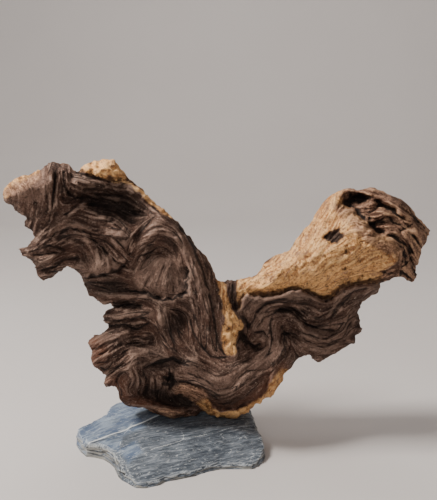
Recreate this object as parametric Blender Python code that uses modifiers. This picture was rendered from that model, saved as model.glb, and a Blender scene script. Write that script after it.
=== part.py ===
"""A mopani root that stands on a slate plate, held to it by two screws from below.

The root is carved the way a carver would do it. An outline is sawn from a thick blank, the blank is
given a round back and a hollowed front, ribs, ledges, clefts and cracks are cut into it, and a foot
is sawn flat to sit on the plate. The plate is split along its layers, and its edges are chipped.

Lengths in the tables are millimetres, because they are sizes on the real piece. +X is to the right,
+Y runs away from the viewer and +Z is up. The origin is on the table under the middle of the piece.
"""

import math

import bmesh
import bpy
import numpy as np
from mathutils import Vector, noise

MM = 0.001

# Driving sizes
TOTAL_WIDTH = 280.0
TOTAL_HEIGHT = 200.0
PLATE_THICKNESS = 14.0
SEAT_GAP = 0.3  # between the root's sawn foot and the plate
SCREW_SHANK_RADIUS = 2.0
SCREW_LENGTH = 34.0
SCREW_HEAD_RADIUS = 4.1
SCREW_HEAD_DEPTH = 2.6
SCREW_RECESS = 0.6  # how far the head is sunk under the plate
SCREW_PLACES = ((-31.0, 28.0), (5.0, 27.0))

# The outline and the marks below are drawn on an upright sheet at y = 0, as they are seen from EYE.
# A point is carried along its line of sight to its own depth, so the front view stays as drawn.
EYE = np.array((0.0, -489.0, 245.0))

OUTLINE_SNOUT = [
    (-140.5, 175), (-139, 180), (-137, 184), (-134, 187), (-130, 189.3), (-125.5, 190.6), (-121, 191.2),
    (-117.5, 193.3), (-114, 194.5), (-112, 196.8), (-110, 198.6), (-107.5, 199.4), (-104.5, 198.5),
    (-102, 197.2), (-97.5, 198), (-94.5, 195.5), (-92.3, 192.6),
]
OUTLINE_CROWN = [
    (-90, 193.5), (-87.8, 196.4), (-84.8, 198), (-81.5, 200.2), (-75.5, 200.4), (-71.8, 200.8),
    (-68.3, 200.4), (-65.5, 199.1), (-63.4, 196.4), (-59.6, 190.2), (-54, 185), (-49, 180.5),
    (-44.3, 174.7), (-40.5, 171), (-36.8, 169.4), (-30.7, 164), (-24.8, 158), (-22, 153.8),
    (-15.8, 146.1), (-9.7, 139), (-7.8, 134.4), (-2.8, 125.2), (-0.8, 120.8),
]
OUTLINE_LIMB = [
    (2.5, 119.3), (10, 121), (19.8, 122), (23, 122.5), (25.6, 124.6), (30.5, 131.1), (36.9, 136.3),
    (43, 139.2), (47, 140.6), (49.1, 144.4), (55.4, 152.1), (60.7, 160), (62.5, 164.8), (64.4, 166.3),
    (68.9, 173.3), (71.8, 176.8), (75, 178.6), (78, 179.1), (80.3, 180.9), (83.6, 182.1), (89.4, 180.9),
    (96.7, 182.2), (100.1, 182.5), (103.6, 180.9), (109.6, 178), (118.2, 175.4), (124.3, 170.3),
    (128.1, 164.4), (133.2, 160), (137.4, 155.2), (138.2, 152.5), (135.6, 146), (133.4, 143),
    (132, 136), (130.4, 127.8), (130.5, 123.7), (130, 120.9), (128.2, 119.6), (124, 122.1),
    (118, 123.4), (113, 120.6), (107.2, 119),
]
OUTLINE_FAN = [
    (106, 113.5), (103.5, 111.4), (99.2, 108.4), (97, 107), (95, 106.6), (96, 104.6), (93.8, 99.5),
    (94.1, 94.3), (95.3, 88.8), (96.3, 87), (95.8, 84.9), (91.9, 81.8), (92.8, 79.6), (91, 76.7),
    (88.8, 76.5), (85.2, 73.1), (79.7, 70.2), (75.5, 67.4), (73.2, 66.6), (70, 63.5), (67.2, 63.4),
    (64, 66.4), (62.6, 68.4), (60.3, 69), (57, 67.6), (53.8, 66.1), (51.5, 63.4), (48.7, 59.6),
    (44.2, 55.4), (43.3, 52.3), (44, 49.5), (40.1, 44.3), (37, 39), (29.6, 35.1), (24.3, 30.1),
    (18.9, 25.7), (12, 22.9), (5, 22), (-0.5, 22.8), (-5.5, 25), (-9.2, 30), (-12.5, 34),
]
OUTLINE_BEARD = [
    (-16.5, 34), (-20, 29), (-23, 24), (-27, 22.3), (-32, 22.2), (-37, 23.4), (-41, 25.4),
    (-45, 27.8), (-54, 29.8), (-62, 30.9), (-65.5, 32.2), (-68, 36), (-69.2, 42.5), (-70.7, 45.3),
    (-72.6, 46), (-75, 44.6), (-77.4, 45.8), (-78.2, 48), (-76.2, 52.3), (-77.5, 54.6), (-82.9, 58.9),
    (-85.9, 61.3), (-86.4, 64.7), (-85.5, 68.5), (-85.7, 71.6), (-88, 74.2), (-88.8, 77.3),
    (-87.4, 80.2), (-85.2, 81.6), (-80, 83.2), (-77.6, 85.3), (-74.5, 87.3), (-72.3, 88),
    (-75, 90), (-77.2, 93), (-77.8, 96), (-75.8, 98.9), (-70.8, 101.3), (-69.5, 103), (-71.8, 104.8),
    (-77.9, 105.3), (-83.2, 109.6), (-86.8, 110.6), (-88, 115), (-89.2, 118.5), (-91.7, 123.8),
    (-97.3, 129.4), (-100.3, 131), (-102.6, 130), (-105.2, 127.5), (-108, 124.8), (-113.7, 121.4),
    (-116.5, 120.2), (-118.4, 121), (-120.7, 126.8), (-122.7, 133.3), (-128.3, 137.4), (-132, 142),
    (-128, 143.4), (-124.8, 145.6), (-120.7, 150), (-121, 153), (-124.3, 155.5), (-127.3, 157.2),
    (-126.2, 161), (-124.8, 163.4), (-129.3, 165.2), (-133.4, 168.6), (-133.8, 171.2), (-136.5, 171.8),
]
OUTLINE = OUTLINE_SNOUT + OUTLINE_CROWN + OUTLINE_LIMB + OUTLINE_FAN + OUTLINE_BEARD

# How far the middle of the wood lies behind the sheet: depth, x, z, half width, half height, turn
LEAN_BASE = 8.0
LEAN = [
    (15, -38, 26, 40, 28, 0),  # the chin stands back, over the plate
    (6, 8, 22, 26, 16, 0),
    (-13, -124, 172, 34, 34, 0),  # the snout comes forward
    (8, -62, 190, 30, 16, 0),
    (-9, 118, 148, 38, 36, 0),  # so does the broken end of the limb
    (9, 60, 88, 40, 26, 0),  # the fan of heartwood hangs behind the limb
]

# Swellings (+) and hollows (-) of the front: height, x, z, half width, half height, turn in degrees
FRONT_BASE = 14.0
FRONT_RELIEF = 1.4  # deepens every rib and cleft of the front
FRONT_EDGE = 11.0  # width of the rounding along the outline
FRONT_FORMS = [
    (6, -128, 181, 13, 9, 25),
    (6, -74, 194, 17, 6, 0),
    (-20, -69, 173, 21, 9, -8),
    (-10, -56, 163, 12, 7, -35),
    (-6, -95, 138, 11, 5, -15),
    (6, -77, 131, 8, 8, 0),
    (4, -64, 148, 9, 6, -30),
    (8, -38, 119, 17, 11, -15),
    (-9, -40, 142, 14, 5, 5),
    (4, -42, 155, 13, 5, 0),
    (5, -11, 108, 9, 34, 12),
    (-6, -70, 117, 13, 4, 0),
    (-9, -50, 80, 13, 7, -8),
    (-8, -27, 95, 8, 7, 0),
    (5, -37, 94, 5, 6, 0),
    (-9, -38, 62, 12, 4, 8),
    (5, -17, 63, 6, 5, 0),
    (6, -57, 61, 8, 8, 0),
    (-9, -46, 39, 12, 7, -10),
    (-13, -27, 35, 9, 5, 0),
    (8, -37, 27, 17, 6, -12),
    (7, 8, 50, 24, 14, 10),
    (-6, 8, 34, 18, 6, 0),
    (9, 50, 127, 36, 15, 24),
    (13, 90, 146, 34, 22, 25),
    (-8, 62, 92, 40, 14, 0),
    (-5, 26, 104, 10, 7, 0),
    (-22, 90, 174, 9, 5, -14),
    (-7, 110, 164, 16, 8, -35),
    (-3, 76, 150, 6, 5, 0),
    (-7, 20, 79, 6, 8, 40),
    (4, 28, 79, 6, 6, 0),
]

# Ribs (+) and clefts (-) of the front: height, half width, points along the crest
FRONT_RIBS = [
    (5, 5, [(-108, 197), (-112, 184), (-112, 168), (-118, 152)]),
    (4, 3, [(-102, 190), (-103, 180), (-108, 168)]),
    (-7, 1.8, [(-105, 190), (-107, 178), (-111, 160)]),
    (-7, 2.2, [(-100, 192), (-100, 184), (-97, 178), (-92, 176)]),
    (5, 3, [(-96, 188), (-90, 187.5), (-84, 185.5)]),
    (4, 3, [(-106, 172), (-96, 168), (-88, 170), (-82, 166), (-74, 163)]),
    (-4, 2.5, [(-104, 176), (-96, 174), (-88, 176)]),
    (4, 2.6, [(-116, 149), (-107, 157), (-97, 160), (-88, 157), (-80, 152), (-70, 152), (-60, 154)]),
    (-3.5, 1.8, [(-112, 148), (-104, 154), (-96, 156), (-88, 153), (-80, 148)]),
    (3, 2.4, [(-106, 146), (-99, 151), (-92, 151), (-86, 147)]),
    (6, 3.2, [(-131, 142), (-120, 145), (-108, 149), (-100, 147)]),
    (-6, 3, [(-122, 141), (-112, 144), (-102, 142)]),
    (5, 3.4, [(-126, 137), (-116, 133), (-107, 138), (-100, 141)]),
    (-6, 2.4, [(-117, 127), (-108, 130), (-102, 135), (-94, 136)]),
    (4, 3, [(-116, 122), (-109, 126)]),
    (-5, 1.8, [(-82, 148), (-75, 141), (-68, 134), (-62, 130)]),
    (-7, 2.4, [(-86, 123.5), (-79, 124), (-70, 125.5), (-64, 129)]),
    (4, 3.6, [(-84, 119), (-74, 121), (-62, 121)]),
    (-6, 2, [(-62, 114), (-52, 113), (-45, 109.3), (-38, 107.3), (-30, 107.8), (-23, 109.5)]),
    (4, 3, [(-36, 104), (-27, 104.5), (-19, 99)]),
    (5, 3.4, [(-56, 152), (-50, 158), (-40, 160), (-30, 157), (-24, 149), (-22, 140)]),
    (-6, 2.2, [(-42, 164), (-48, 157), (-54, 150), (-58, 142)]),
    (-4, 1.6, [(-56, 128), (-52, 137), (-44, 140)]),
    (4, 3, [(-46, 150), (-38, 152), (-30, 149)]),
    (-5, 1.5, [(-23, 149), (-17, 140), (-13, 130), (-7, 112), (-4, 102), (-3, 88), (-2, 77)]),
    (-5, 1.8, [(-19, 93), (-18, 85), (-15, 79), (-9, 72), (-3, 68), (8, 66.5)]),
    (-10, 3, [(-70, 103.3), (-61, 104), (-53, 102)]),
    (7, 4.4, [(-77, 95), (-62, 96), (-46, 98)]),
    (-8, 2.6, [(-73, 88.3), (-64, 90), (-56, 87), (-47, 90.5)]),
    (6, 4, [(-87, 77.5), (-76, 81), (-62, 84)]),
    (-3.5, 1.8, [(-85, 71), (-76, 77), (-66, 80)]),
    (3.5, 2.4, [(-84, 64), (-74, 71), (-64, 77)]),
    (-3.5, 2, [(-82, 62), (-72, 66), (-62, 72)]),
    (-5, 2, [(-80, 58.5), (-71, 59.5), (-63, 62)]),
    (4, 3, [(-60, 70), (-50, 69), (-42, 64)]),
    (-9, 2.8, [(-50, 59), (-46, 61.5), (-38, 62), (-31, 65.5), (-25, 64)]),
    (4, 3, [(-58, 52), (-60, 60), (-57, 66)]),
    (-5, 2, [(-66, 55), (-70, 49), (-66, 40)]),
    (4, 3, [(-58, 49), (-62, 43), (-57, 38)]),
    (4, 2, [(-35, 47), (-33, 40), (-29, 34)]),
    (-6, 2.2, [(-33, 58), (-33, 51), (-37, 45)]),
    (5, 3, [(-30, 44), (-22, 43), (-15, 40), (-11, 35)]),
    (-4, 1.6, [(-30, 49.5), (-20, 48), (-11, 43), (-1, 37)]),
    (-4, 1.5, [(-25, 56), (-18, 55), (-9, 49.5), (0, 43), (9, 45), (14, 52), (20, 57), (32, 58.5)]),
    (4, 2.8, [(-12, 34), (-7, 28), (0, 24), (8, 23.5), (16, 26), (25, 32.5), (35, 40), (40, 48), (42, 55)]),
    (7, 4.2, [(2, 114), (4, 104), (8, 90), (8, 78), (9, 70)]),
    (-8, 3, [(9, 117), (9, 109), (10, 102)]),
    (-9, 3, [(15, 84), (18, 79), (24, 74.5), (29, 76)]),
    (5, 3, [(21, 80), (25, 90), (31, 98), (42, 102.5)]),
    (-6, 2.6, [(17, 95), (21, 88), (25, 97), (32, 105), (44, 108)]),
    (-9, 3, [(38, 99), (44, 101.5), (51, 100), (56, 94), (61, 89), (70, 87), (78, 85)]),
    (6, 4, [(38, 92), (46, 96.5), (52, 93), (58, 86), (66, 82)]),
    (-7, 2, [(43, 84), (49, 84.5), (52, 82)]),
    (-4, 1.6, [(57, 80), (62, 77), (71, 76), (79, 78), (85, 82), (89, 92)]),
    (-3.5, 1.6, [(56, 99), (62, 93), (68, 91), (75, 94), (80, 102), (88, 110)]),
    (3, 2.6, [(64, 103), (70, 98), (76, 101), (82, 108), (90, 113)]),
    (-4, 1.6, [(41, 97), (36, 88), (38, 78), (35, 68), (28, 62)]),
    (3.5, 2.4, [(41, 90), (42, 80), (42, 70), (36, 61)]),
    (-3.5, 1.6, [(44, 90), (45, 80), (49, 72)]),
    (-4, 1.6, [(24, 84), (30, 85), (34, 80), (31, 74), (25, 71)]),
    (-11, 4.2, [(84, 175.5), (90, 177.2), (98, 176.4), (104, 174)]),  # the hollow end of the limb
    (-8, 2.6, [(92, 168), (100, 166.5), (107, 171), (114, 168)]),
    (6, 3.4, [(93, 171), (103, 176), (113, 172), (121, 167)]),
    (-7, 2, [(100, 159), (110, 163), (120, 161), (126, 155), (131, 146)]),
    (5, 3.2, [(104, 158), (114, 159), (122, 153), (127, 144)]),
    (-6, 2, [(104, 153), (111, 156), (118, 154), (122, 146), (121, 138)]),
    (-5, 2, [(108, 127), (115, 128), (122, 130), (127, 136)]),
    (4, 2.6, [(118, 131), (124, 126), (129, 121)]),
    (-5, 2.2, [(124, 169), (129, 161), (135, 156)]),
]

# Ledges of the front, high on the left of the way they run: height, reach, points along the edge
FRONT_LEDGES = [
    (13, 20, [(107, 118.8), (98, 118), (90, 117), (83, 114), (77.5, 109.5), (75.5, 106.5), (72, 105),
             (69, 107), (65, 109.5), (59, 112.3), (53, 113.6), (46, 112.5), (37, 109.5), (30, 108.7),
             (24, 110.5), (19, 110.2), (16, 107), (14, 102)]),
    (11, 12, [(-47, 178), (-52, 183), (-60, 185.4), (-70, 185.2), (-80, 187.5), (-90, 190.5)]),
    (8, 10, [(119, 124), (120.5, 133), (121, 140), (117, 147), (109, 151.5), (102, 154.5), (98, 160),
             (90, 166), (83, 169.5), (80, 174), (81, 179)]),
    (7, 9, [(-21, 127), (-21.5, 120), (-23, 112), (-30, 109.3), (-40, 109), (-48, 112)]),
    (5, 8, [(13, 68), (13.5, 76), (13, 83), (17, 89), (14.5, 95), (10, 100)]),
    (5, 8, [(-10, 36), (-5, 31.5), (2, 28), (10, 27.5), (17, 29.5), (26, 36), (33, 43), (35.5, 52)][::-1]),
    (7, 8, [(-63, 132), (-67, 127), (-78, 125.3), (-87, 124.5)][::-1]),
]

# The back is rounder: two spines that part like a fork, a few hollows and old branch scars
BACK_BASE = 12.0
BACK_EDGE = 22.0
BACK_FORMS = [
    (-7, -102, 158, 16, 12, 20),
    (-8, -28, 128, 13, 15, 15),
    (6, -66, 70, 20, 14, 20),
    (-5, -48, 92, 12, 9, 0),
    (5, -116, 178, 17, 10, 20),
    (-6, 48, 98, 22, 12, 15),
    (-6, 112, 150, 12, 11, 20),
    (6, 84, 158, 15, 10, 30),
    (6, -20, 42, 26, 16, 0),
    (-11, 84, 140, 6, 4, 30),  # a lost twig's scar
    (-9, -58, 116, 7, 5, 60),
    (7, -84, 150, 9, 7, 0),
    (-8, -6, 100, 8, 10, 0),
    (6, 26, 74, 10, 8, 30),
]
BACK_RIBS = [
    (15, 22, [(-28, 36), (-45, 85), (-66, 135), (-88, 176)]),
    (13, 19, [(-6, 55), (22, 96), (58, 128), (106, 154)]),
    (5, 6, [(-82, 66), (-60, 84), (-34, 120), (-28, 150)]),
    (-5, 4, [(-20, 60), (-10, 90), (6, 112)]),
    (5, 5, [(-92, 112), (-84, 140), (-96, 170), (-118, 176)]),
    (-4, 3, [(-60, 100), (-70, 130), (-76, 160), (-72, 186)]),
    (4, 5, [(30, 66), (60, 82), (88, 88)]),
    (-4, 3, [(26, 82), (56, 100), (90, 112), (116, 128)]),
    (-4, 3, [(62, 150), (84, 164), (110, 168)]),
    (-6, 2.4, [(-34, 52), (-48, 92), (-68, 128), (-84, 158), (-96, 184)]),
    (4, 3, [(-22, 48), (-36, 92), (-54, 130), (-64, 168)]),
    (-4, 2.2, [(-16, 74), (-32, 104), (-42, 136), (-48, 162)]),
    (5, 4, [(-78, 50), (-66, 62), (-62, 84), (-72, 108)]),
    (-5, 2.4, [(-58, 40), (-54, 60), (-58, 84), (-76, 112), (-100, 136)]),
    (4, 3, [(6, 78), (34, 104), (66, 126), (100, 142), (124, 150)]),
    (-5, 2.2, [(0, 62), (34, 98), (62, 120), (90, 136)]),
    (-4, 2, [(14, 58), (44, 88), (78, 104)]),
    (4, 3, [(26, 44), (38, 62), (66, 74), (88, 96)]),
    (-5, 2.6, [(84, 178), (102, 172), (118, 160), (126, 140)]),
    (6, 5, [(-12, 30), (4, 42), (22, 46)]),
]

# Feet under the back of the root: centre, half sizes, turn about z in degrees
FEET = [
    ((-30.0, 29.0, 27.0), (25.0, 15.0, 17.0), -8.0),
    ((4.0, 27.0, 32.0), (21.0, 13.0, 21.0), 10.0),
]

BLANK_HALF = 20.0  # half the thickness of the sawn blank
RIM_HALF = 3.2  # half the thickness that is left along the outline
BLANK_VOXEL = 1.25
CARVED_VOXEL = 1.1
GRAIN_RISE = 0.8
ROOT_TRIANGLES = 11300

# The plate's lower outline, seen from above
PLATE_OUTLINE = [
    (-101.5, 15), (-100, 4), (-95, -6), (-90, -13), (-84, -14.5), (-78, -17), (-73, -22), (-69, -28),
    (-67, -34), (-64.5, -41), (-62, -45), (-57.5, -49), (-52, -54.6), (-46, -55), (-38, -51.5),
    (-34.5, -47.5), (-25, -43.5), (-16, -40), (-7, -34), (2, -30.5), (12, -28.5), (17, -30.2),
    (22, -30.6), (26, -27), (30, -21.5), (32, -13), (30.5, 0), (28, 12), (26, 28), (24.5, 40),
    (18, 50), (2, 53.6), (-18, 52.5), (-40, 55), (-62, 54), (-76, 55), (-82, 46), (-84, 34), (-91, 25),
]
PLATE_VOXEL = 1.6
PLATE_TRIANGLES = 2900
# Height of the plate's upper face at places on it: x, y, height, reach
PLATE_LEVELS = [
    (-96, 6, 8.8, 12), (-84, 26, 10.6, 14), (-77, 48, 11.3, 14), (-60, 40, 12.6, 16),
    (-70, 4, 13.4, 12), (-56, -10, 14.0, 14), (-30, 10, 14.0, 26), (5, 20, 14.0, 26),
    (-54, -50, 6.0, 9), (-40, -47, 5.6, 9), (-20, -38, 5.6, 8), (6, -28, 5.8, 8), (26, -24, 5.4, 8),
    (-44, -30, 11.4, 10), (-18, -22, 11.2, 10), (6, -12, 11.6, 9), (24, -8, 10.4, 8),
    (-40, -14, 13.8, 10), (0, 0, 13.8, 12), (24, 30, 12.4, 10), (-66, -22, 12.6, 8),
]
PLATE_STEPS = [  # splits along the layers: height, half width, points
    (1.1, 1.6, [(-86, -6), (-70, 2), (-56, 12), (-40, 22), (-30, 30)]),
    (-0.9, 2.2, [(-62, -28), (-52, -16), (-46, -4)]),
    (-0.8, 1.6, [(-50, -30), (-20, -22), (10, -14), (27, -10)]),
    (-0.8, 1.4, [(-56, -38), (-30, -33), (0, -22), (28, -16)]),
]


def clear_scene():
    """Removes every object of the open file."""
    for obj in list(bpy.data.objects):
        bpy.data.objects.remove(obj, do_unlink=True)


def make_collection(name):
    collection = bpy.data.collections.new(name)
    bpy.context.scene.collection.children.link(collection)
    return collection


def make_material(name, colour, roughness, metallic=0.0):
    material = bpy.data.materials.new(name)
    material.use_nodes = True
    shader = material.node_tree.nodes["Principled BSDF"]
    shader.inputs["Base Color"].default_value = (*colour, 1.0)
    shader.inputs["Roughness"].default_value = roughness
    shader.inputs["Metallic"].default_value = metallic
    material.diffuse_color = (*colour, 1.0)
    return material


def coordinates(mesh):
    """The mesh's vertices in millimetres, as an array of rows."""
    flat = np.empty(len(mesh.vertices) * 3, np.float32)
    mesh.vertices.foreach_get("co", flat)
    return flat.reshape(-1, 3).astype(float) / MM


def set_coordinates(mesh, points):
    mesh.vertices.foreach_set("co", (points * MM).astype(np.float32).ravel())
    mesh.update()


def baked(obj):
    """Replaces the object by a mesh object that has its modifiers applied."""
    bpy.context.view_layer.update()
    graph = bpy.context.evaluated_depsgraph_get()
    mesh = bpy.data.meshes.new_from_object(obj.evaluated_get(graph))
    mesh.transform(obj.matrix_world)
    name, collections = obj.name, list(obj.users_collection)
    bpy.data.objects.remove(obj, do_unlink=True)
    made = bpy.data.objects.new(name, mesh)
    mesh.name = name
    for collection in collections:
        collection.objects.link(made)
    return made


def weld(mesh, distance=0.00005):
    shape = bmesh.new()
    shape.from_mesh(mesh)
    bmesh.ops.remove_doubles(shape, verts=shape.verts, dist=distance)
    bmesh.ops.recalc_face_normals(shape, faces=shape.faces)
    shape.to_mesh(mesh)
    shape.free()


def remeshed(obj, voxel):
    """The object as one skin of even faces; shapes that overlap become one body."""
    modifier = obj.modifiers.new("Even skin", "REMESH")
    modifier.mode = "VOXEL"
    modifier.voxel_size = voxel * MM
    return baked(obj)


def sawn_blank(name, outline, half, collection, upright):
    """A flat outline with a thickness: upright for the root's blank, lying for the plate."""
    curve = bpy.data.curves.new(name, "CURVE")
    curve.dimensions = "2D"
    curve.fill_mode = "BOTH"
    curve.extrude = half * MM
    spline = curve.splines.new("POLY")
    spline.points.add(len(outline) - 1)
    for point, (a, b) in zip(spline.points, outline):
        point.co = (a * MM, b * MM, 0.0, 1.0)
    spline.use_cyclic_u = True
    obj = bpy.data.objects.new(name, curve)
    obj.rotation_euler.x = math.pi / 2 if upright else 0.0
    collection.objects.link(obj)
    obj = baked(obj)
    weld(obj.data)
    return obj


def nearest(places, path, closed=False):
    """Distance from each place to a path, which side it is on, and how far it lies past an open end."""
    path = np.array(path, float)
    if closed:
        path = np.vstack((path, path[:1]))
    best = np.full(len(places), np.inf)
    side = np.ones(len(places))
    past = np.zeros(len(places))
    last = len(path) - 2
    for index, (start, stop) in enumerate(zip(path[:-1], path[1:])):
        run = stop - start
        offset = places - start
        share = offset @ run / (run @ run)
        gap = np.hypot(*(offset - np.clip(share, 0, 1)[:, None] * run).T)
        closer = gap < best
        best[closer] = gap[closer]
        side[closer] = np.sign(run[0] * offset[:, 1] - run[1] * offset[:, 0])[closer]
        over = np.zeros(len(places))
        if index == 0:
            over = np.maximum(over, -share)
        if index == last:
            over = np.maximum(over, share - 1)
        past[closer] = (over * np.hypot(*run))[closer]
    return best, side, past


def swelling(places, form):
    """The height that one swelling or hollow adds at each place."""
    height, x, z, half_width, half_height, turn = form
    cos, sin = math.cos(math.radians(turn)), math.sin(math.radians(turn))
    along = (places[:, 0] - x) * cos + (places[:, 1] - z) * sin
    across = -(places[:, 0] - x) * sin + (places[:, 1] - z) * cos
    reach = (along / half_width) ** 2 + (across / half_height) ** 2
    return height * np.exp(-(reach**1.3))


def rib(places, mark):
    """The height that one rib or cleft adds; a cleft has steeper sides than a rib."""
    height, half_width, path = mark
    gap, _, _ = nearest(places, path)
    power = 2.0 if height > 0 else 1.4
    return height * np.exp(-((gap / half_width) ** power))


def ledge(places, mark):
    """The height that one ledge adds: up on its left, down on its right, and fading away from it."""
    height, reach, path = mark
    gap, side, past = nearest(places, path)
    fade = np.exp(-gap / reach) * np.exp(-((past / 3.0) ** 2))
    return 0.5 * height * np.tanh(side * gap / 1.1) * fade


def ripple(points, size, seed):
    """Smooth noise from -1 to 1 whose lumps are about that many millimetres across."""
    shift = Vector((seed * 17.3, seed * -9.1, seed * 4.7))
    return np.array([noise.noise(Vector(point) / size + shift) for point in points])


def rounding(gap, width):
    """How full the section is at this distance from the outline, from 0 to 1, as a quarter circle."""
    return np.sqrt(1 - (1 - np.minimum(gap / width, 1)) ** 2)


def front_height(places, gap):
    """How far the front stands out from the middle of the wood, in millimetres."""
    height = np.full(len(places), FRONT_BASE)
    for form in FRONT_FORMS:
        height += swelling(places, form)
    for mark in FRONT_LEDGES:
        height += ledge(places, mark)
    height *= rounding(gap, FRONT_EDGE)
    for mark in FRONT_RIBS:
        height += FRONT_RELIEF * rib(places, mark) * np.minimum(1, 0.35 + gap / 6)
    return height


def back_height(places, gap):
    height = np.full(len(places), BACK_BASE)
    for form in BACK_FORMS:
        height += swelling(places, form)
    for mark in BACK_RIBS:
        height += rib(places, mark)
    return height * rounding(gap, BACK_EDGE)


def carve(points):
    """Turns places on the sawn blank into places on the root."""
    places = points[:, (0, 2)]
    level = np.clip(points[:, 1] / BLANK_HALF, -1, 1)
    gap, _, _ = nearest(places, OUTLINE, closed=True)
    front = np.maximum(front_height(places, gap), -6) + RIM_HALF
    back = np.maximum(back_height(places, gap), 1) + RIM_HALF
    flat = np.column_stack((places[:, 0], np.zeros(len(places)), places[:, 1]))
    depth = LEAN_BASE + sum(swelling(places, form) for form in LEAN)
    depth += 3.0 * ripple(flat, 42.0, 1)
    depth += np.where(level < 0, level * front, level * back)
    stretch = (depth - EYE[1]) / -EYE[1]
    return EYE + (flat - EYE) * stretch[:, None]


def add_feet(root, collection):
    """Joins the two stubs that the root stands on, as one body with it."""
    shape = bmesh.new()
    shape.from_mesh(root.data)
    for centre, halves, turn in FEET:
        ball = bmesh.ops.create_uvsphere(shape, u_segments=24, v_segments=16, radius=MM)
        cos, sin = math.cos(math.radians(turn)), math.sin(math.radians(turn))
        for vert in ball["verts"]:
            x, y, z = (value * half for value, half in zip(vert.co, halves))
            place = Vector((x * cos - y * sin, x * sin + y * cos, z))
            vert.co = place + Vector(centre) * MM
    shape.to_mesh(root.data)
    shape.free()
    return remeshed(root, CARVED_VOXEL)


def smoothed(obj, factor, repeats):
    modifier = obj.modifiers.new("Worn", "SMOOTH")
    modifier.factor = factor
    modifier.iterations = repeats
    return baked(obj)


def roughened(obj):
    """Raises long waves of grain and smaller lumps along the normals of the skin."""
    points = coordinates(obj.data)
    normals = np.empty(len(obj.data.vertices) * 3, np.float32)
    obj.data.vertices.foreach_get("normal", normals)
    normals = normals.reshape(-1, 3)
    stretched = points * (1.0, 1.0, 0.45)
    rise = 0.9 * ripple(stretched, 11.0, 2) + 0.6 * ripple(stretched, 5.5, 3)
    set_coordinates(obj.data, points + normals * (GRAIN_RISE * rise)[:, None])
    return obj


def thinned(obj, triangles, keep_front=False):
    """The same shape with about that many triangles, small where it bends most."""
    modifier = obj.modifiers.new("Facets", "DECIMATE")
    if keep_front:  # the carved side keeps more of its triangles than the plain back
        group = obj.vertex_groups.new(name="plain")
        backs = [v.index for v in obj.data.vertices if v.normal.y > 0.2]
        fronts = [v.index for v in obj.data.vertices if v.normal.y <= 0.2]
        group.add(backs, 1.0, "REPLACE")
        group.add(fronts, 0.5, "REPLACE")
        modifier.vertex_group = group.name
        modifier.vertex_group_factor = 0.00003
    obj.data.calc_loop_triangles()
    modifier.ratio = triangles / len(obj.data.loop_triangles)
    modifier.use_collapse_triangulate = True
    return baked(obj)


def cutter(name, obj, collection):
    obj.name = name
    obj.hide_render = True
    obj.display_type = "WIRE"
    for old in list(obj.users_collection):
        old.objects.unlink(obj)
    collection.objects.link(obj)
    return obj


def box_cutter(name, low, high, collection):
    bpy.ops.mesh.primitive_cube_add(size=1.0, location=[(a + b) / 2 * MM for a, b in zip(low, high)])
    obj = bpy.context.object
    obj.scale = [(b - a) * MM for a, b in zip(low, high)]
    return cutter(name, obj, collection)


def subtract(obj, tool):
    modifier = obj.modifiers.new(tool.name, "BOOLEAN")
    modifier.operation = "DIFFERENCE"
    modifier.solver = "EXACT"
    modifier.object = tool


def turned(name, profile, place, collection, steps=20):
    """A turned piece round an upright axis: profile is (radius, height) from top to bottom."""
    mesh = bpy.data.meshes.new(name)
    edges = [(i, i + 1) for i in range(len(profile) - 1)]
    mesh.from_pydata([(r * MM, 0.0, h * MM) for r, h in profile], edges, [])
    obj = bpy.data.objects.new(name, mesh)
    obj.location = (place[0] * MM, place[1] * MM, 0.0)
    collection.objects.link(obj)
    modifier = obj.modifiers.new("Turned", "SCREW")
    modifier.axis = "Z"
    modifier.steps = modifier.render_steps = steps
    modifier.use_merge_vertices = True
    modifier.merge_threshold = 0.00001
    return obj


def screw_profile(clearance=0.0):
    """Half section of a countersunk wood screw, point up; clearance widens it to the hole it fits."""
    head_top = SCREW_RECESS + SCREW_HEAD_DEPTH
    shank = SCREW_SHANK_RADIUS + clearance
    head = SCREW_HEAD_RADIUS + clearance
    tip = SCREW_RECESS + SCREW_LENGTH + clearance
    bottom = -2.0 if clearance else SCREW_RECESS
    profile = [(0.0, tip), (shank, tip - 4.5), (shank, head_top), (head, SCREW_RECESS), (head, bottom)]
    if not clearance:
        profile = profile[:-1]
    return [*profile, (0.0, bottom)]


def build_root(parts, tools):
    blank = sawn_blank("root", OUTLINE, BLANK_HALF, parts, upright=True)
    blank = remeshed(blank, BLANK_VOXEL)
    set_coordinates(blank.data, carve(coordinates(blank.data)))
    root = add_feet(blank, parts)
    root = smoothed(root, 0.5, 1)
    root = roughened(root)
    root = remeshed(root, CARVED_VOXEL)
    points = coordinates(root.data)
    low, high = points.min(0), points.max(0)
    points[:, 0] = (points[:, 0] - low[0]) / (high[0] - low[0]) * TOTAL_WIDTH - TOTAL_WIDTH / 2
    seat = PLATE_THICKNESS + SEAT_GAP
    above = points[:, 2] > seat
    points[above, 2] = seat + (points[above, 2] - seat) * (TOTAL_HEIGHT - seat) / (high[2] - seat)
    set_coordinates(root.data, points)
    root = thinned(root, ROOT_TRIANGLES, keep_front=True)
    reach = 400.0
    subtract(root, box_cutter("seat_cut", (-reach, -reach, -60.0), (reach, reach, seat), tools))
    for index, place in enumerate(SCREW_PLACES):
        hole = turned(f"root_bore_{index + 1}", screw_profile(0.3), place, tools)
        subtract(root, cutter(hole.name, hole, tools))
    return root


def plate_height(places):
    """Height of the plate's upper face, blended from the levels read at places on it."""
    total = np.zeros(len(places))
    weight = np.full(len(places), 1e-9)
    for x, y, height, reach in PLATE_LEVELS:
        share = np.exp(-(((places[:, 0] - x) ** 2 + (places[:, 1] - y) ** 2) / (2 * reach**2)))
        total += share * height
        weight += share
    return total / weight


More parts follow.
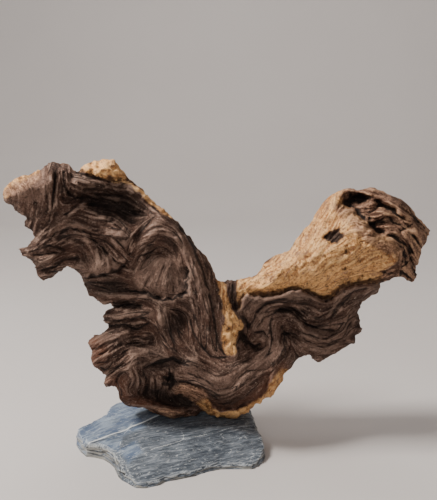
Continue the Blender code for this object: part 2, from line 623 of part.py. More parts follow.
def build_plate(parts, tools):
    lower = 3.0  # the blank reaches this far below the table, and is then sawn off flat
    half = (PLATE_THICKNESS + lower) / 2
    plate = sawn_blank("slate_plate", PLATE_OUTLINE, half, parts, upright=False)
    plate = remeshed(plate, PLATE_VOXEL)
    points = coordinates(plate.data)
    places = points[:, :2]
    height = points[:, 2] + half - lower
    share = np.clip(height / PLATE_THICKNESS, 0, 1)
    gap, _, _ = nearest(places, PLATE_OUTLINE, closed=True)
    top = plate_height(places)
    flat = np.column_stack((places, np.zeros(len(places))))
    top += sum(rib(places, mark) for mark in PLATE_STEPS)
    top += 0.35 * ripple(flat * (0.35, 1.0, 1.0), 5.0, 4)
    seat = np.zeros(len(places), bool)
    for centre, halves, _ in FEET:
        seat |= np.hypot(places[:, 0] - centre[0], places[:, 1] - centre[1]) < halves[0] + 3
    top = np.where(seat, PLATE_THICKNESS, np.minimum(top, PLATE_THICKNESS))
    edge = 2.6 + 1.4 * ripple(flat, 13.0, 5)
    top -= 3.4 * (1 - rounding(gap, np.maximum(edge, 1.2)))
    points[:, 2] = np.where(height > 0, share * top, height)
    inward = 1.7 * share * np.exp(-gap / 2.0) * (1 + ripple(points * (1, 1, 2.2), 4.0, 6))
    centre = np.array((-35.0, 0.0))
    away = places - centre
    away /= np.hypot(*away.T)[:, None]
    points[:, :2] -= away * inward[:, None]
    set_coordinates(plate.data, points)
    plate = thinned(plate, PLATE_TRIANGLES)
    reach = 300.0
    subtract(plate, box_cutter("table_cut", (-reach, -reach, -60.0), (reach, reach, 0.0), tools))
    for index, place in enumerate(SCREW_PLACES):
        hole = turned(f"plate_bore_{index + 1}", screw_profile(0.3), place, tools)
        subtract(plate, cutter(hole.name, hole, tools))
    return plate


def main():
    clear_scene()
    parts = make_collection("mopani_root_on_slate")
    tools = make_collection("cutters")
    wood = make_material("mopani_wood", (0.085, 0.055, 0.042), 0.75)
    slate = make_material("slate", (0.16, 0.19, 0.22), 0.6)
    steel = make_material("stainless_steel", (0.6, 0.6, 0.6), 0.35, 1.0)
    build_root(parts, tools).data.materials.append(wood)
    build_plate(parts, tools).data.materials.append(slate)
    for index, place in enumerate(SCREW_PLACES):
        screw = turned(f"screw_{index + 1}", screw_profile(), place, parts)
        screw.data.materials.append(steel)


main()
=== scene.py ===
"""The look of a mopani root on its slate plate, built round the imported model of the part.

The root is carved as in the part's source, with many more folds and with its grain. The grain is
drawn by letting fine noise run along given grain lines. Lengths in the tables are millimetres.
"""

import logging
import math
import time
from dataclasses import dataclass, field
from enum import Enum, IntEnum

import bmesh
import bpy
import numpy as np
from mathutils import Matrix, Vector


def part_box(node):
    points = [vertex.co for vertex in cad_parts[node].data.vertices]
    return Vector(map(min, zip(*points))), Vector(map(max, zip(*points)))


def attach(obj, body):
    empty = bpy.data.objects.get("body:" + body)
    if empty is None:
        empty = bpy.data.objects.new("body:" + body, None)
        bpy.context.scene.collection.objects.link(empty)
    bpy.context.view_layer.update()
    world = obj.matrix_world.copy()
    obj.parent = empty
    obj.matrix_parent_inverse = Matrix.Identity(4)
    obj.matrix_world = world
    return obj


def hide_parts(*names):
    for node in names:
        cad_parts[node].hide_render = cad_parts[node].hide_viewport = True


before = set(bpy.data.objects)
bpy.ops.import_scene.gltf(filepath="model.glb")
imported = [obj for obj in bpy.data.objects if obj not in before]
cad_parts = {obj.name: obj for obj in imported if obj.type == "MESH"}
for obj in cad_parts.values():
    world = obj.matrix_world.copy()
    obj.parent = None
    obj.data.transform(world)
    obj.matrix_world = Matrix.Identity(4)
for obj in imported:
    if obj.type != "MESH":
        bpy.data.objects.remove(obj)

log = logging.getLogger("mopani")

MM = 0.001
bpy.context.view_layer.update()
Path = list[tuple[float, float]]

FORM_FALL = 1.3  # how squarely a swelling falls off at its rim
LEDGE_EDGE = 0.8  # how far a ledge's edge is rounded
LEDGE_END = 3.0  # how far a ledge runs on past its ends
CRACK_REACH = 4.0  # clefts are known to the material up to this distance
SLATE_STREAK = 21.0  # how far the slate's streaks are turned about the upright axis, in degrees

# The upright sheet y = 0 as it is seen from EYE carries the outline, the marks and the masks. A
# point is taken along its line of sight to its own depth, so the front view stays as it is drawn.
EYE = np.array((0.0, -489.0, 245.0))

OUTLINE_SNOUT = [
    (-140.5, 175), (-139, 180), (-137, 184), (-134, 187), (-130, 189.3), (-125.5, 190.6), (-121, 191.2),
    (-117.5, 193.3), (-114, 194.5), (-112, 196.8), (-110, 198.6), (-107.5, 199.4), (-104.5, 198.5),
    (-102, 197.2), (-97.5, 198), (-94.5, 195.5), (-92.3, 192.6),
]
OUTLINE_CROWN = [
    (-90, 193.5), (-87.8, 196.4), (-84.8, 198), (-81.5, 200.2), (-75.5, 200.4), (-71.8, 200.8),
    (-68.3, 200.4), (-65.5, 199.1), (-63.4, 196.4), (-59.6, 190.2), (-54, 185), (-49, 180.5),
    (-44.3, 174.7), (-40.5, 171), (-36.8, 169.4), (-30.7, 164), (-24.8, 158), (-22, 153.8),
    (-15.8, 146.1), (-9.7, 139), (-7.8, 134.4), (-2.8, 125.2), (-0.8, 120.8),
]
OUTLINE_LIMB = [
    (2.5, 119.3), (10, 121), (19.8, 122), (23, 122.5), (25.6, 124.6), (30.5, 131.1), (36.9, 136.3),
    (43, 139.2), (47, 140.6), (49.1, 144.4), (55.4, 152.1), (60.7, 160), (62.5, 164.8), (64.4, 166.3),
    (68.9, 173.3), (71.8, 176.8), (75, 178.6), (78, 179.1), (80.3, 180.9), (83.6, 182.1), (89.4, 180.9),
    (96.7, 182.2), (100.1, 182.5), (103.6, 180.9), (109.6, 178), (118.2, 175.4), (124.3, 170.3),
    (128.1, 164.4), (133.2, 160), (137.4, 155.2), (138.2, 152.5), (135.6, 146), (133.4, 143),
    (132, 136), (130.4, 127.8), (130.5, 123.7), (130, 120.9), (128.2, 119.6), (124, 122.1),
    (118, 123.4), (113, 120.6), (107.2, 119),
]
OUTLINE_FAN = [
    (106, 113.5), (103.5, 111.4), (99.2, 108.4), (97, 107), (95, 106.6), (96, 104.6), (93.8, 99.5),
    (94.1, 94.3), (95.3, 88.8), (96.3, 87), (95.8, 84.9), (91.9, 81.8), (92.8, 79.6), (91, 76.7),
    (88.8, 76.5), (85.2, 73.1), (79.7, 70.2), (75.5, 67.4), (73.2, 66.6), (70, 63.5), (67.2, 63.4),
    (64, 66.4), (62.6, 68.4), (60.3, 69), (57, 67.6), (53.8, 66.1), (51.5, 63.4), (48.7, 59.6),
    (44.2, 55.4), (43.3, 52.3), (44, 49.5), (40.1, 44.3), (37, 39), (29.6, 35.1), (24.3, 30.1),
    (18.9, 25.7), (12, 22.9), (5, 22), (-0.5, 22.8), (-5.5, 25), (-9.2, 30), (-12.5, 34),
]
OUTLINE_BEARD = [
    (-16.5, 34), (-20, 29), (-23, 24), (-27, 22.3), (-32, 22.2), (-37, 23.4), (-41, 25.4),
    (-45, 27.8), (-54, 29.8), (-62, 30.9), (-65.5, 32.2), (-68, 36), (-69.2, 42.5), (-70.7, 45.3),
    (-72.6, 46), (-75, 44.6), (-77.4, 45.8), (-78.2, 48), (-76.2, 52.3), (-77.5, 54.6), (-82.9, 58.9),
    (-85.9, 61.3), (-86.4, 64.7), (-85.5, 68.5), (-85.7, 71.6), (-88, 74.2), (-88.8, 77.3),
    (-87.4, 80.2), (-85.2, 81.6), (-80, 83.2), (-77.6, 85.3), (-74.5, 87.3), (-72.3, 88),
    (-75, 90), (-77.2, 93), (-77.8, 96), (-75.8, 98.9), (-70.8, 101.3), (-69.5, 103), (-71.8, 104.8),
    (-77.9, 105.3), (-83.2, 109.6), (-86.8, 110.6), (-88, 115), (-89.2, 118.5), (-91.7, 123.8),
    (-97.3, 129.4), (-100.3, 131), (-102.6, 130), (-105.2, 127.5), (-108, 124.8), (-113.7, 121.4),
    (-116.5, 120.2), (-118.4, 121), (-120.7, 126.8), (-122.7, 133.3), (-128.3, 137.4), (-132, 142),
    (-128, 143.4), (-124.8, 145.6), (-120.7, 150), (-121, 153), (-124.3, 155.5), (-127.3, 157.2),
    (-126.2, 161), (-124.8, 163.4), (-129.3, 165.2), (-133.4, 168.6), (-133.8, 171.2), (-136.5, 171.8),
]
OUTLINE = OUTLINE_SNOUT + OUTLINE_CROWN + OUTLINE_LIMB + OUTLINE_FAN + OUTLINE_BEARD

LEAN_BASE = 8.0
LEAN = [
    (15, -38, 26, 40, 28, 0),  # the chin stands back, over the plate
    (6, 8, 22, 26, 16, 0),
    (-13, -124, 172, 34, 34, 0),  # the snout comes forward
    (8, -62, 190, 30, 16, 0),
    (-9, 118, 148, 38, 36, 0),  # so does the broken end of the limb
    (9, 60, 88, 40, 26, 0),  # the fan of heartwood hangs behind the limb
]

# Swellings (+) and hollows (-) of the front: height, x, z, half width, half height, turn in degrees
FRONT_FORMS = [
    (6, -128, 181, 13, 9, 25),
    (6, -74, 194, 17, 6, 0),
    (-20, -69, 173, 21, 9, -8),
    (-10, -56, 163, 12, 7, -35),
    (-6, -95, 138, 11, 5, -15),
    (6, -77, 131, 8, 8, 0),
    (4, -64, 148, 9, 6, -30),
    (5.5, -38, 116, 16, 9, -15),
    (-5, -39, 141, 12, 5, 8),
    (2.5, -42, 155, 13, 5, 0),
    (5, -11, 108, 9, 34, 12),
    (-6, -70, 117, 13, 4, 0),
    (-9, -50, 80, 13, 7, -8),
    (-8, -27, 95, 8, 7, 0),
    (5, -37, 94, 5, 6, 0),
    (-3, -38, 61, 10, 3, 8),
    (5, -17, 63, 6, 5, 0),
    (6, -57, 61, 8, 8, 0),
    (-9, -46, 39, 12, 7, -10),
    (-13, -27, 35, 9, 5, 0),
    (8, -37, 27, 17, 6, -12),
    (7, 8, 50, 24, 14, 10),
    (-6, 8, 34, 18, 6, 0),
    (9, 50, 127, 36, 15, 24),
    (13, 90, 146, 34, 22, 25),
    (-8, 62, 92, 40, 14, 0),
    (-5, 26, 104, 10, 7, 0),
    (-14, 90, 175, 9, 5, -14),
    (-7, 110, 164, 16, 8, -35),
    (-3, 76, 150, 6, 5, 0),
    (-4, 20, 79, 6, 8, 40),
    (2, 28, 79, 6, 6, 0),
    (-6, 60, 103, 21, 6, 8),
]

# Ribs (+) and clefts (-) of the front: height, half width, points along the crest
FRONT_RIBS = [
    (5, 5, [(-108, 197), (-112, 184), (-112, 168), (-118, 152)]),
    (4, 3, [(-102, 190), (-103, 180), (-108, 168)]),
    (-7, 1.8, [(-105, 190), (-107, 178), (-111, 160)]),
    (-7, 2.2, [(-100, 192), (-100, 184), (-97, 178), (-92, 176)]),
    (5, 3, [(-96, 188), (-90, 187.5), (-84, 185.5)]),
    (4, 3, [(-106, 172), (-96, 168), (-88, 170), (-82, 166), (-74, 163)]),
    (-4, 2.5, [(-104, 176), (-96, 174), (-88, 176)]),
    (4, 2.6, [(-116, 149), (-107, 157), (-97, 160), (-88, 157), (-80, 152), (-70, 152), (-64, 152.5)]),
    (-3.5, 1.8, [(-112, 148), (-104, 154), (-96, 156), (-88, 153), (-80, 148)]),
    (3, 2.4, [(-106, 146), (-99, 151), (-92, 151), (-86, 147)]),
    (6, 3.2, [(-131, 142), (-120, 145), (-108, 149), (-100, 147)]),
    (-6, 3, [(-122, 141), (-112, 144), (-102, 142)]),
    (5, 3.4, [(-126, 137), (-116, 133), (-107, 138), (-100, 141)]),
    (-6, 2.4, [(-117, 127), (-108, 130), (-102, 135), (-94, 136)]),
    (4, 3, [(-116, 122), (-109, 126)]),
    (-5, 1.8, [(-82, 148), (-75, 141), (-68, 134), (-62, 130)]),
    (-7, 2.4, [(-86, 123.5), (-79, 124), (-70, 125.5), (-64, 129)]),
    (4, 3.6, [(-84, 119), (-74, 121), (-62, 121)]),
    (-4, 2, [(-62, 114), (-52, 113), (-45, 109.3), (-38, 107.3), (-30, 107.8), (-23, 109.5)]),
    (4, 3, [(-36, 104), (-27, 104.5), (-19, 99)]),
    (5, 2.4, [(-46, 159.5), (-40, 160), (-30, 157), (-24, 149), (-22, 140)]),
    (-4, 1.6, [(-42, 164), (-48, 157), (-54, 150), (-58, 142)]),
    (-4, 1.6, [(-56, 128), (-52, 137), (-44, 140)]),
    (4, 3, [(-46, 150), (-38, 152), (-30, 149)]),
    (-9, 3, [(-70, 103.3), (-61, 104), (-53, 102)]),
    (5, 4.4, [(-77, 95), (-62, 96), (-46, 98)]),
    (-7, 2.6, [(-73, 88.3), (-64, 90), (-56, 87), (-47, 90.5)]),
    (4.5, 4, [(-87, 77.5), (-76, 81), (-62, 84)]),
    (-3.5, 1.8, [(-85, 71), (-76, 77), (-66, 80)]),
    (3.5, 2.4, [(-84, 64), (-74, 71), (-64, 77)]),
    (-3.5, 2, [(-82, 62), (-72, 66), (-62, 72)]),
    (-5, 2, [(-80, 58.5), (-71, 59.5), (-63, 62)]),
    (4, 3, [(-60, 70), (-50, 69), (-42, 64)]),
    (-5, 1.6, [(-50, 59), (-46, 61.5), (-38, 62), (-31, 65.5), (-25, 64)]),
    (4, 3, [(-58, 52), (-60, 60), (-57, 66)]),
    (-5, 2, [(-66, 55), (-70, 49), (-66, 40)]),
    (4, 3, [(-58, 49), (-62, 43), (-57, 38)]),
    (4, 2, [(-35, 47), (-33, 40), (-29, 34)]),
    (-6, 2.2, [(-33, 58), (-33, 51), (-37, 45)]),
    (5, 3, [(-30, 44), (-22, 43), (-15, 40), (-11, 35)]),
    (-4, 1.6, [(-30, 49.5), (-20, 48), (-11, 43), (-1, 37)]),
    (-3, 1.5, [(0, 43), (9, 45), (14, 52), (20, 57), (32, 58.5)]),
    (4, 2.8, [(-12, 34), (-7, 28), (0, 24), (8, 23.5), (16, 26), (25, 32.5), (35, 40), (40, 48),
              (42, 55)]),
    (7, 4.2, [(2, 114), (4, 104), (8, 90), (8, 78), (9, 70)]),
    (-4, 3, [(9, 117), (9, 109), (10, 102)]),
    (-7, 2.2, [(15, 84), (18, 79), (24, 74.5), (29, 76)]),
    (5, 3, [(21, 80), (25, 90), (31, 98), (42, 102.5)]),
    (-6, 2.6, [(17, 95), (21, 88), (25, 97), (32, 105), (44, 108)]),
    (-9, 3, [(38, 99), (44, 101.5), (51, 100), (56, 94), (61, 89), (70, 87), (78, 85)]),
    (6, 4, [(38, 92), (46, 96.5), (52, 93), (58, 86), (66, 82)]),
    (-7, 2, [(43, 84), (49, 84.5), (52, 82)]),
    (-4, 1.6, [(57, 80), (62, 77), (71, 76), (79, 78), (85, 82), (89, 92)]),
    (-3.5, 1.6, [(56, 99), (62, 93), (68, 91), (75, 94), (80, 102), (88, 110)]),
    (3, 2.6, [(64, 103), (70, 98), (76, 101), (82, 108), (90, 113)]),
    (3.5, 2.4, [(41, 90), (42, 80), (42, 70), (36, 61)]),
    (-3.5, 1.6, [(44, 90), (45, 80), (49, 72)]),
    (-4, 1.6, [(24, 84), (30, 85), (34, 80), (31, 74), (25, 71)]),
    (-9, 3.4, [(87, 174.5), (92, 176), (98, 175.5), (104, 173.5)]),  # the hollow end of the limb
    (-8, 2.6, [(92, 168), (100, 166.5), (107, 171), (114, 168)]),
    (6, 3.4, [(93, 171), (103, 176), (113, 172), (121, 167)]),
    (-7, 2, [(100, 159), (110, 163), (120, 161), (126, 155), (131, 146)]),
    (5, 3.2, [(104, 158), (114, 159), (122, 153), (127, 144)]),
    (-6, 2, [(104, 153), (111, 156), (118, 154), (122, 146), (121, 138)]),
    (-5, 2, [(108, 127), (115, 128), (122, 130), (127, 136)]),
    (4, 2.6, [(118, 131), (124, 126), (129, 121)]),
    (-5, 2.2, [(124, 169), (129, 161), (135, 156)]),
]

# Ledges of the front, high on the left of the way they run: height, reach, points along the edge
FRONT_LEDGES = [
    (13, 20, [(107, 118.8), (98, 118), (90, 117), (83, 114), (77.5, 109.5), (75.5, 106.5), (72, 105),
             (69, 107), (65, 109.5), (59, 112.3), (53, 113.6), (46, 112.5), (37, 109.5), (30, 108.7),
             (24, 110.5), (19, 110.2), (16, 107), (14, 102)]),
    (11, 12, [(-47, 178), (-52, 183), (-60, 185.4), (-70, 185.2), (-80, 187.5), (-90, 190.5)]),
    (8, 10, [(119, 124), (120.5, 133), (121, 140), (117, 147), (109, 151.5), (102, 154.5), (98, 160),
             (90, 166), (85, 169)]),
    (7, 9, [(-21, 127), (-20.5, 123.5), (-23, 121), (-20.5, 118), (-22.8, 115), (-21, 112.5),
            (-25.5, 109.6),
            (-29, 111), (-32, 108.3), (-36, 110), (-39, 107.6), (-42, 109.8), (-48, 112)]),
    (5, 8, [(13, 68), (13.5, 76), (13, 83), (17, 89), (14.5, 95), (10, 100)]),
    (5, 8, [(-10, 36), (-5, 31.5), (2, 28), (10, 27.5), (17, 29.5), (26, 36), (33, 43),
            (35.5, 52)][::-1]),
    (7, 8, [(-87, 124), (-83.5, 126.2), (-80, 124), (-76, 127), (-72.5, 125.6), (-70, 129.4),
            (-66.5, 128),
            (-63, 132)]),
]

# The back is rounder: two spines that part like a fork, a few hollows and old branch scars
BACK_FORMS = [
    (-7, -102, 158, 16, 12, 20),
    (-8, -28, 128, 13, 15, 15),
    (6, -66, 70, 20, 14, 20),
    (-5, -48, 92, 12, 9, 0),
    (5, -116, 178, 17, 10, 20),
    (-6, 48, 98, 22, 12, 15),
    (-6, 112, 150, 12, 11, 20),
    (6, 84, 158, 15, 10, 30),
    (6, -20, 42, 26, 16, 0),
    (-11, 84, 140, 6, 4, 30),  # a lost twig's scar
    (-9, -58, 116, 7, 5, 60),
    (7, -84, 150, 9, 7, 0),
    (-8, -6, 100, 8, 10, 0),
    (6, 26, 74, 10, 8, 30),
]
BACK_RIBS = [
    (15, 22, [(-28, 36), (-45, 85), (-66, 135), (-88, 176)]),
    (13, 19, [(-6, 55), (22, 96), (58, 128), (106, 154)]),
    (5, 6, [(-82, 66), (-60, 84), (-34, 120), (-28, 150)]),
    (-5, 4, [(-20, 60), (-10, 90), (6, 112)]),
    (5, 5, [(-92, 112), (-84, 140), (-96, 170), (-118, 176)]),
    (-4, 3, [(-60, 100), (-70, 130), (-76, 160), (-72, 186)]),
    (4, 5, [(30, 66), (60, 82), (88, 88)]),
    (-4, 3, [(26, 82), (56, 100), (90, 112), (116, 128)]),
    (-4, 3, [(62, 150), (84, 164), (110, 168)]),
    (-6, 2.4, [(-34, 52), (-48, 92), (-68, 128), (-84, 158), (-96, 184)]),
    (4, 3, [(-22, 48), (-36, 92), (-54, 130), (-64, 168)]),
    (-4, 2.2, [(-16, 74), (-32, 104), (-42, 136), (-48, 162)]),
    (5, 4, [(-78, 50), (-66, 62), (-62, 84), (-72, 108)]),
    (-5, 2.4, [(-58, 40), (-54, 60), (-58, 84), (-76, 112), (-100, 136)]),
    (4, 3, [(6, 78), (34, 104), (66, 126), (100, 142), (124, 150)]),
    (-5, 2.2, [(0, 62), (34, 98), (62, 120), (90, 136)]),
    (-4, 2, [(14, 58), (44, 88), (78, 104)]),
    (4, 3, [(26, 44), (38, 62), (66, 74), (88, 96)]),
    (-5, 2.6, [(84, 178), (102, 172), (118, 160), (126, 140)]),
    (6, 5, [(-12, 30), (4, 42), (22, 46)]),
]

# Feet under the back of the root: centre, half sizes, turn about z in degrees
FEET = [
    ((-30.0, 29.0, 27.0), (25.0, 15.0, 17.0), -8.0),
    ((4.0, 27.0, 32.0), (21.0, 13.0, 21.0), 10.0),
]
SCREW_PLACES = ((-31.0, 28.0), (5.0, 27.0))

PLATE_OUTLINE = [
    (-101.5, 15), (-100, 4), (-95, -6), (-90, -13), (-84, -14.5), (-78, -17), (-73, -22), (-69, -28),
    (-67, -34), (-64.5, -41), (-62, -45), (-57.5, -49), (-52, -54.6), (-46, -55), (-38, -51.5),
    (-34.5, -47.5), (-25, -43.5), (-16, -40), (-7, -34), (2, -30.5), (12, -28.5), (17, -30.2),
    (22, -30.6), (26, -27), (30, -21.5), (32, -13), (30.5, 0), (28, 12), (26, 28), (24.5, 40),
    (18, 50), (2, 53.6), (-18, 52.5), (-40, 55), (-62, 54), (-76, 55), (-82, 46), (-84, 34), (-91, 25),
]
PLATE_LEVELS = [
    (-99, 8, 7.0, 9), (-93, 20, 8.6, 10), (-84, 34, 10.2, 12), (-77, 48, 11.0, 12), (-60, 40, 12.6, 14),
    (-88, -8, 10.2, 6), (-78, 4, 12.0, 8), (-70, 20, 12.6, 12), (-50, 22, 13.8, 10),
    (-66, -8, 12.0, 6), (-66, -24, 10.6, 6), (-63, -36, 8.4, 6), (-54, -12, 12.8, 9), (-40, 0, 13.4, 10),
    (-54, -35, 11.6, 6), (-41, -26, 13.0, 6), (-28, -18, 13.0, 6), (-14, -9, 13.0, 7), (-1, -3, 13.2, 7),
    (12, 6, 13.2, 7), (21, 9, 12.4, 6), (-20, 10, 14.0, 12), (5, 24, 14.0, 14), (-30, 36, 14.0, 16),
    (-57, -51, 3.6, 6), (-47, -54, 2.8, 6), (-35, -48, 3.2, 6), (-18, -42, 3.0, 7), (0, -33, 3.2, 7),
    (14, -29, 3.4, 7), (24, -27, 3.4, 6), (-45, -40, 7.8, 5), (-26, -31, 8.0, 5), (-8, -23, 8.0, 5),
    (10, -14, 8.2, 5), (28, -14, 6.8, 5), (27, 4, 9.6, 5), (24, 30, 12.2, 7), (20, 46, 12.2, 8),
]
# Splits along the layers: rise on their left, reach, points along the edge
PLATE_STEPS = [
    (1.1, 14, [(-89, -13.5), (-77.1, -6), (-65.9, 1.8), (-53.7, 12.6), (-42, 26)]),
    (0.6, 7, [(-62, 8), (-66.5, -7.1), (-66, -23.6), (-62.9, -35.9), (-56, -47.6), (-50, -58)]),
    (0.6, 6, [(-54, -34.5), (-41.5, -25.6), (-29.3, -18.7), (-25.2, -13.5), (-14.6, -9.1), (-1.6, -3),
              (11.8, 5.8), (24, 9)]),
]
# Thin pale lines on the slate, where a layer's edge is rubbed
PLATE_LINES = [
    [(-40, 28), (-53.7, 12.6), (-65.9, 1.8), (-77.1, -6), (-88.1, -12.6)],
    [(-61, 10), (-66.5, -7.1), (-66, -23.6), (-62.9, -35.9), (-55.9, -47.6)],
    [(-53.2, -34.5), (-41.5, -25.6), (-29.3, -18.7), (-24, -14), (-23.9, -7.1), (-27, 0.3),
     (-32.9, 6.7)],
    [(-25.2, -13.5), (-14.6, -9.1), (-1.6, -3), (11.8, 5.8), (19.8, 8.4)],
    [(-51.3, 11.9), (-48.5, 5.4)],
]
# Where the slate is smooth and blue: behind the long split and in the wedge before it
PLATE_BLUE = [
    [(-110, -10), (-89, -13), (-77.1, -6), (-65.9, 1.8), (-53.7, 12.6), (-40, 28), (-60, 60),
     (-100, 60)],
    [(-82, -13), (-66, -26), (-66, -8), (-50, 6), (-54, 11)],
    [(-66, -24), (-58, -40), (-50, -30), (-56, -14)],
]

# Open crevices, wider than the clefts: depth, half width, points
CREVICES = [
    (-9, 2.6, [(82, 173), (88.7, 168.2), (97.4, 163.9), (101.4, 158.6), (104.9, 153.8), (108.3, 151.7)]),
    (-8, 1.8, [(101.4, 158.2), (107, 160.1), (112.7, 160.6), (120.5, 156.2), (127.4, 150),
               (131.5, 145.6)]),
    (-6, 1.4, [(103.6, 173), (108.5, 170.1), (113.3, 167.7), (116.3, 163.9), (121.1, 163)]),
    (-7, 1.6, [(112.2, 150.9), (117, 149.5), (122, 145.1), (125.1, 140.7), (128.9, 139.3)]),
    (-7, 2.0, [(125.9, 143.2), (125.2, 137.3), (127.5, 131.4), (130.7, 124.5)]),
    (-6, 1.8, [(110, 126.5), (113.4, 124), (118.1, 127.5), (122, 126), (127, 121.6)]),
    (-5, 1.0, [(118, 172), (124, 166), (130, 160)]),
    (-5, 1.0, [(120, 154), (126, 158), (133, 155)]),
    (-3, 1.2, [(-44, 62), (-38, 64), (-31, 66), (-27, 63)]),
    (-6, 1.6, [(-33, 54), (-31, 49), (-33, 44)]),
    (-4, 1.2, [(-37, 52), (-34, 50.5)]),
    (-4, 1.2, [(-37, 48), (-34, 47)]),
    (-1.7, 0.45, [(-26.4, 158.3), (-20.9, 150.8), (-15.9, 141.4), (-13.6, 134.8), (-10, 124.3),
                  (-6.3, 111.8),
                  (-4.4, 103.1), (-4.1, 100), (-3, 92.6), (-2, 82.9), (0.6, 74.2), (4.2, 68.7)]),
    (-1.7, 0.4, [(-59, 113), (-54, 113.6), (-50.5, 111.4), (-47, 112.2), (-43.5, 109), (-40, 109.6),
                 (-37.5, 106.6),
                 (-34, 109.2), (-31, 107.2), (-27.5, 110.2), (-25, 108.6), (-23.6, 112),
                 (-21.4, 112.6)]),
    (-1.3, 0.3, [(-21.6, 114.5), (-20.2, 117.5), (-21.8, 119.5), (-19.8, 122), (-21.4, 124.5),
                 (-20, 127)]),
    (-1.7, 0.4, [(-18.5, 93.1), (-17.7, 86.1), (-15.5, 80.7), (-10.3, 73.1), (-5.1, 67.6), (1.1, 66.2),
                 (5.2, 66.9)]),
    (-1.5, 0.3, [(-30.8, 48.9), (-20.9, 48.3), (-12.5, 46.1), (-5.2, 42.8), (1.1, 38.8)]),
    (-1.3, 0.2, [(-20.8, 55.5), (-14.6, 52.2), (-8.3, 50), (-2, 45)]),
    (-1.3, 0.2, [(36, 94.7), (34.5, 89.3), (35.7, 83.9), (36.8, 79.6), (35.3, 74.2), (32.3, 67.6)]),
    (-1.3, 0.2, [(42.3, 88.3), (44.5, 81.8), (45.1, 74.2), (41.6, 66.5), (36.5, 59.9)]),
]
# Where the heartwood is finely ribbed; elsewhere it is worn smooth
RIBBED_FRONT = [
    [(-114, 200), (-60, 192), (-46, 176), (-50, 150), (-62, 128), (-90, 112), (-140, 116), (-134, 158),
     (-116, 168)],
    [(-94, 112), (-58, 112), (-46, 96), (-48, 70), (-54, 30), (-94, 34)],
    [(-56, 60), (-10, 46), (-6, 30), (-20, 20), (-60, 28)],
    [(46, 104), (100, 108), (98, 66), (58, 62), (44, 84)],
    [(-40, 150), (-24, 158), (-2, 120), (4, 100), (-6, 100), (-22, 130)],
    [(82, 186), (145, 172), (140, 112), (108, 118), (118, 140), (98, 160)],
]
# Paler parts of the heartwood: partly its own pale flakes, partly painted light on faces that turn away
# from the lamp
FLAKES_AND_PAINTED_LIGHT_FRONT = [
    [(-136, 184), (-122, 190), (-109, 194), (-108, 182), (-114, 173), (-124, 172), (-133, 176)],
    [(-94, 192), (-86, 203), (-64, 204), (-56, 190), (-60, 185), (-74, 187), (-84, 191)],
    [(0, 100), (14, 100), (19, 88), (14, 66), (2, 66)],
    [(-12, 34), (-2, 22), (14, 20), (34, 34), (48, 56), (40, 57), (28, 38), (10, 28), (-4, 30)],
    [(-31, 160), (-20, 147), (-12, 132), (-6, 118), (-2, 104), (-8, 100), (-13, 112), (-19, 127),
     (-28, 147)],
    [(-22, 62), (-6, 56), (8, 52), (20, 62), (30, 72), (34, 90), (40, 90), (42, 70), (26, 52), (4, 38),
     (-24, 50)],
    [(-86, 140), (-70, 137), (-65, 129), (-72, 121), (-86, 119), (-90, 128)],
    [(-55, 131), (-44, 137), (-28, 135), (-21, 124), (-24, 111), (-34, 109), (-46, 112), (-57, 116)],
    [(-72, 151), (-62, 154), (-55, 147), (-60, 143), (-70, 146)],
    [(-98, 190), (-80, 188), (-78, 184), (-96, 184)],
    [(-110, 158), (-98, 161), (-86, 157), (-88, 152), (-100, 154), (-112, 150)],
    [(16, 112), (30, 110), (48, 114), (64, 110), (72, 106), (80, 112), (92, 118), (107, 120), (110, 127),
     (96, 134), (80, 131), (60, 127), (40, 123), (24, 120)],
    [(54, 72), (70, 68), (88, 78), (93, 92), (95, 104), (84, 96), (70, 90), (56, 88)],
    [(-76, 97), (-60, 98), (-44, 100), (-42, 94), (-60, 93), (-76, 92)],
    [(-86, 82), (-74, 84), (-62, 86), (-60, 80), (-74, 77), (-88, 76)],
    [(-62, 74), (-50, 73), (-42, 66), (-50, 65), (-60, 68)],
    [(16, 100), (24, 106), (34, 104), (34, 96), (26, 92), (20, 94)],
    [(22, 84), (27, 96), (34, 102), (44, 101), (36, 92), (28, 82)],
]
# Shaded parts of the heartwood: the wing's hollow, under the lips and between the folds
SHADED_FRONT = [
    [(-94, 188), (-60, 184), (-46, 176), (-48, 164), (-60, 157), (-76, 161), (-86, 168), (-94, 176)],
    [(-90, 120), (-62, 121), (-56, 113), (-68, 107), (-84, 111)],
    [(-74, 93), (-50, 93), (-44, 88), (-58, 84), (-74, 86)],
    [(34, 108), (52, 112), (68, 104), (78, 104), (94, 114), (106, 113), (98, 109), (84, 101), (66, 100),
     (50, 104),
     (38, 104)],
    [(-54, 47), (-20, 42), (-12, 35), (-20, 28), (-40, 32), (-58, 37)],
    [(-42, 94), (-30, 96), (-22, 92), (-26, 80), (-36, 80)],
    [(-56, 64), (-40, 66), (-24, 70), (-22, 62), (-40, 56), (-56, 58)],
    [(-18, 38), (0, 34), (20, 38), (34, 50), (38, 46), (22, 32), (4, 27), (-10, 30)],
    [(4, 120), (12, 121), (12.6, 112), (12, 101), (8.5, 101), (6, 110)],
]
# Reddish brown parts: the worn chin and the lower left folds
REDDISH_FRONT = [
    [(-58, 38), (-40, 36), (-24, 31), (-22, 22), (-44, 20), (-64, 28)],
    [(-92, 82), (-84, 82), (-76, 74), (-78, 58), (-92, 60)],
    [(-78, 52), (-64, 52), (-60, 36), (-72, 34)],
    [(-18, 40), (-6, 26), (8, 20), (22, 24), (36, 36), (46, 54), (48, 64), (38, 58), (26, 42), (8, 31),
     (-6, 36)],
]
# A band of bruised wood that crosses the limb before its broken end
BRUISED_FRONT = [
    [(76, 173), (89, 167), (97.5, 159), (106, 152), (117, 147), (121.5, 139), (119, 134), (110, 139),
     (100, 144),
     (91.5, 150.5), (85, 157.5), (77.5, 164.5), (72.5, 170)],
]
